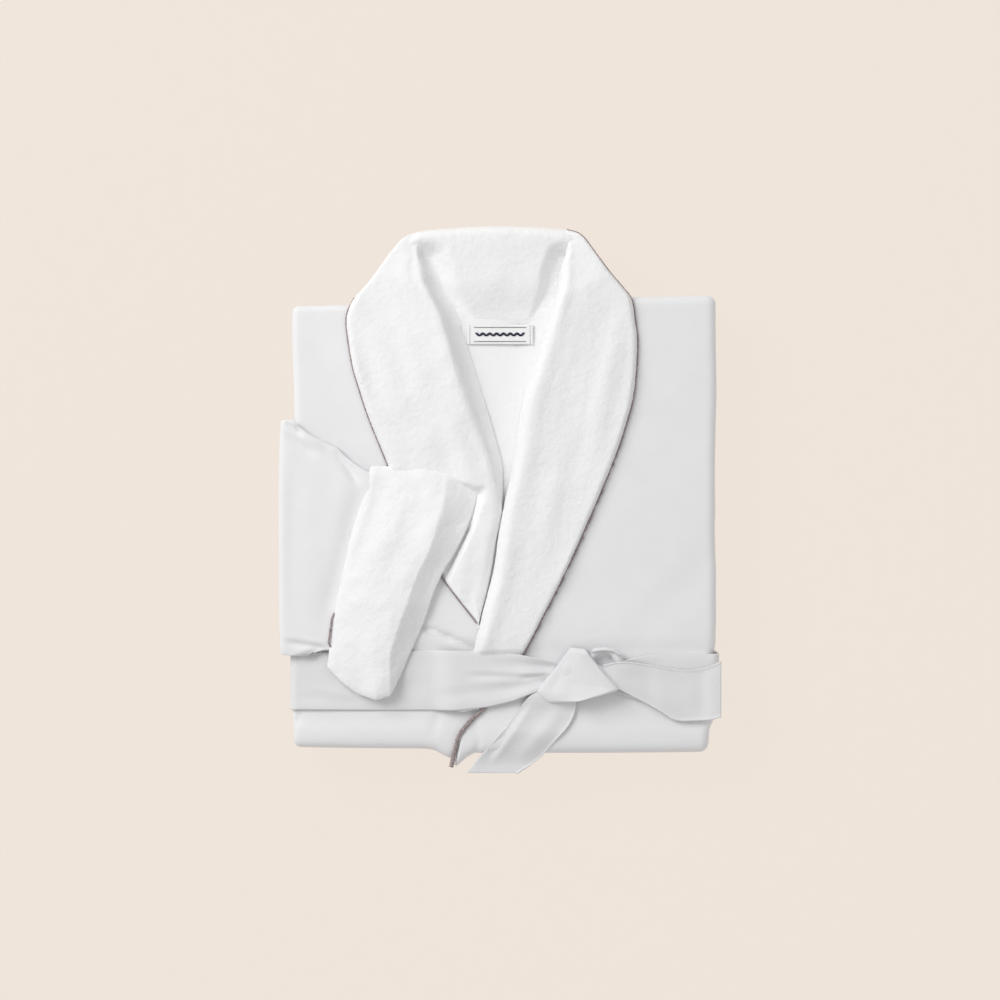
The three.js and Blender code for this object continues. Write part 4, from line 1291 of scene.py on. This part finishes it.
class BATHROBE_OT_tails(Operator):
    """Make the belt's two free tails: one over the bottom fold, one lying to the side"""

    bl_idname = "bathrobe.tails"
    bl_label = "Belt tails"

    def execute(self, context):
        material = belt_material()
        thick = belt_thickness()
        level = TOP + thick + 0.6

        def hanging(x, y, s, t):
            surface = packet_relief(x, y) * smooth_step(BOTTOM + 2, BOTTOM + 22, y)
            z = level + surface + 3.2 * smooth_step(-186, -170, y - MID_Y) + 0.4
            z -= 9.0 * smooth_step(BOTTOM + 24, BOTTOM - 12, y) ** 1.6
            z += creases(x, y, ((26, -176), (-10, -230), 4.5, 0.9, 3.0),
                         ((50, -182), (14, -226), 8.0, -0.8, 1.6))
            z += 0.5 * waves(161, x, y, 22) + 0.2 * waves(162, x, y, 9)
            return z + 0.9 * np.exp(-((1 - t) / 0.03) ** 2)

        left_edge = plan((33, -166), (25, -172), (16, -184), (4, -200), (-13, -220), (-29, -239.5))
        right_edge = plan((66, -172), (66, -182), (61, -195), (47, -212), (35, -226), (15.5, -239.5))
        lower, grid = surface_patch("tail_lower", left_edge, right_edge, hanging, thick, material,
                                    90, 56)
        finish_piece(lower, None, "belt", "belt_tail_lower")
        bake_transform(lower)

        def lying(x, y, s, t):
            surface = packet_relief(x, y) * smooth_step(RIGHT + 2, RIGHT - 16, x)
            z = level + surface + thick + 1.2 + 4.0 * smooth_step(132, 100, x - MID_X)
            z += 1.4 * smooth_step(RIGHT - 26, RIGHT - 6, x)
            z += creases(x, y, ((108, -160), (150, -186), 6.0, -0.4, 0.9),
                         ((112, -146), (170, -160), 10.0, 0.3, 0.8),
                         ((178, -150), (180, -190), 7.0, 0.5, 0.9))
            z += 0.5 * waves(171, x, y, 24) + 0.2 * waves(172, x, y, 9)
            return z + 0.8 * np.exp(-(t / 0.03) ** 2) + 0.8 * np.exp(-((1 - t) / 0.03) ** 2)

        low_edge = plan((86, -154), (94, -158.5), (106, -165.5), (120, -173), (138, -183), (153, -192),
                        (170, -192.5), (184, -191.5), (193, -189))
        high_edge = plan((90, -145), (99, -142.5), (110, -141.5), (126, -143.5), (142, -146),
                         (156, -148.2), (168, -148.6), (181, -146), (193, -141))
        side, grid = surface_patch("tail_side", low_edge, high_edge, lying, thick, material, 90, 56)
        finish_piece(side, None, "belt", "belt_tail_side")
        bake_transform(side)
        return {"FINISHED"}


class BATHROBE_OT_carriers(Operator):
    """Make the two belt carriers on the side seams"""

    bl_idname = "bathrobe.carriers"
    bl_label = "Belt carriers"

    def execute(self, context):
        material = belt_material()
        for name, node in (("carrier_left", "belt_loop_left"), ("carrier_right", "belt_loop_right")):
            low, high = node_box(node)
            piece = strap(name, low[0], high[0], low[1], high[1], high[2], 1.4, material)
            finish_piece(piece, "root", "belt", node)
        return {"FINISHED"}


# ---- stage ----

class BATHROBE_OT_stage(Operator):
    """Set the pale floor, the soft lights and the camera straight above"""

    bl_idname = "bathrobe.stage"
    bl_label = "Stage"

    def execute(self, context):
        bpy.ops.object.select_all(action="DESELECT")
        bpy.ops.mesh.primitive_plane_add(size=12, location=(0, 0, -0.0002))
        floor = context.active_object
        floor.name = "floor"
        floor.data.materials.append(floor_material())
        bpy.ops.object.transform_apply(location=True)

        world = bpy.data.worlds.new("studio")
        context.scene.world = world
        world.use_nodes = True
        background = world.node_tree.nodes["Background"]
        background.inputs["Color"].default_value = (1, 1, 1, 1)
        background.inputs["Strength"].default_value = 0.50
        lights = (
            ("key_softbox", (-1.7, 1.4, 2.0), 1.6, 52.0),
            ("fill_softbox", (1.9, -0.6, 2.4), 2.4, 7.0),
        )
        for name, place, size, power in lights:
            lamp = bpy.data.lights.new(name, "AREA")
            lamp.size = size
            lamp.energy = power
            holder = bpy.data.objects.new(name, lamp)
            holder.location = place
            direction = Vector((0, 0, 0.05)) - Vector(place)
            holder.rotation_euler = direction.to_track_quat("-Z", "Y").to_euler()
            context.scene.collection.objects.link(holder)

        camera = bpy.data.cameras.new("camera")
        camera.lens = 85
        camera.sensor_width = 36
        view_width = 0.875
        distance = view_width * camera.lens / camera.sensor_width
        holder = bpy.data.objects.new("camera", camera)
        holder.location = (MID_X / MM, MID_Y / MM, TOP / MM + distance)
        context.scene.collection.objects.link(holder)
        context.scene.camera = holder
        context.scene.view_settings.view_transform = "Standard"
        return {"FINISHED"}


# ---- settings and panel ----

def length(name, description, default):
    return FloatProperty(name=name, description=description, default=default, unit="LENGTH")


def multiplier(name, description):
    return FloatProperty(name=name, description=description, default=1.0, min=0, max=2)


class BathrobeSizes(PropertyGroup):
    """Sizes of the robe's cloths that a user would change"""

    shell_thickness: length("Shell thickness", "Smooth outer cloth", 0.0008)
    lining_thickness: length("Lining thickness", "Plush lining with its pile", 0.002)
    belt_thickness: length("Belt thickness", "Two layers of the belt's cloth", 0.0018)
    piping_radius: length("Piping radius", "Radius of the corded edge", 0.0009)
    pile_unevenness: length("Pile unevenness", "How far the pile lies up and down", 0.00022)
    wrinkle_depth: multiplier("Wrinkle depth", "Multiplies every pressed crease")
    fold_unevenness: multiplier("Fold unevenness", "Multiplies the drift of the side folds")


def colour_property(name, description, default):
    return FloatVectorProperty(name=name, description=description, subtype="COLOR", size=3,
                               default=default, min=0, max=1)


class BathrobeColours(PropertyGroup):
    """Colours of the robe's cloths"""

    shell: colour_property("Shell", "Smooth outer cloth", (0.85, 0.85, 0.86))
    plush: colour_property("Plush", "Lining, collar and cuff", (0.92, 0.92, 0.925))
    belt: colour_property("Belt", "Belt cloth", (0.785, 0.785, 0.795))
    piping: colour_property("Piping", "Corded edge", (0.37, 0.30, 0.30))
    label: colour_property("Label", "Woven neck label", (0.93, 0.93, 0.93))
    floor: colour_property("Floor", "Paper under the robe", (0.865, 0.785, 0.71))


class BATHROBE_PT_panel(Panel):
    """Lists the robe's pieces, sizes and colours"""

    bl_idname = "BATHROBE_PT_panel"
    bl_label = "Bathrobe"
    bl_space_type = "VIEW_3D"
    bl_region_type = "UI"
    bl_category = "Bathrobe"

    def draw(self, context):
        layout = self.layout
        for operator in OPERATORS:
            layout.operator(operator.bl_idname)
        for group in (sizes(), colours()):
            for key in group.bl_rna.properties.keys():
                if key not in ("rna_type", "name"):
                    layout.prop(group, key)


OPERATORS = (
    BATHROBE_OT_stage,
    BATHROBE_OT_back,
    BATHROBE_OT_fronts,
    BATHROBE_OT_pockets,
    BATHROBE_OT_collar,
    BATHROBE_OT_under_collar,
    BATHROBE_OT_piping,
    BATHROBE_OT_label,
    BATHROBE_OT_left_sleeve,
    BATHROBE_OT_right_sleeve,
    BATHROBE_OT_cuff,
    BATHROBE_OT_belt_band,
    BATHROBE_OT_carriers,
    BATHROBE_OT_knot,
    BATHROBE_OT_tails,
)
CLASSES = (BathrobeSizes, BathrobeColours, *OPERATORS, BATHROBE_PT_panel)


def register():
    for item in CLASSES:
        bpy.utils.register_class(item)
    bpy.types.Scene.bathrobe_sizes = PointerProperty(type=BathrobeSizes)
    bpy.types.Scene.bathrobe_colours = PointerProperty(type=BathrobeColours)


def unregister():
    del bpy.types.Scene.bathrobe_colours
    del bpy.types.Scene.bathrobe_sizes
    for item in reversed(CLASSES):
        bpy.utils.unregister_class(item)


def main():
    register()
    for operator in OPERATORS:
        family, name = operator.bl_idname.split(".")
        getattr(getattr(bpy.ops, family), name)()


if __name__ == "__main__":
    main()
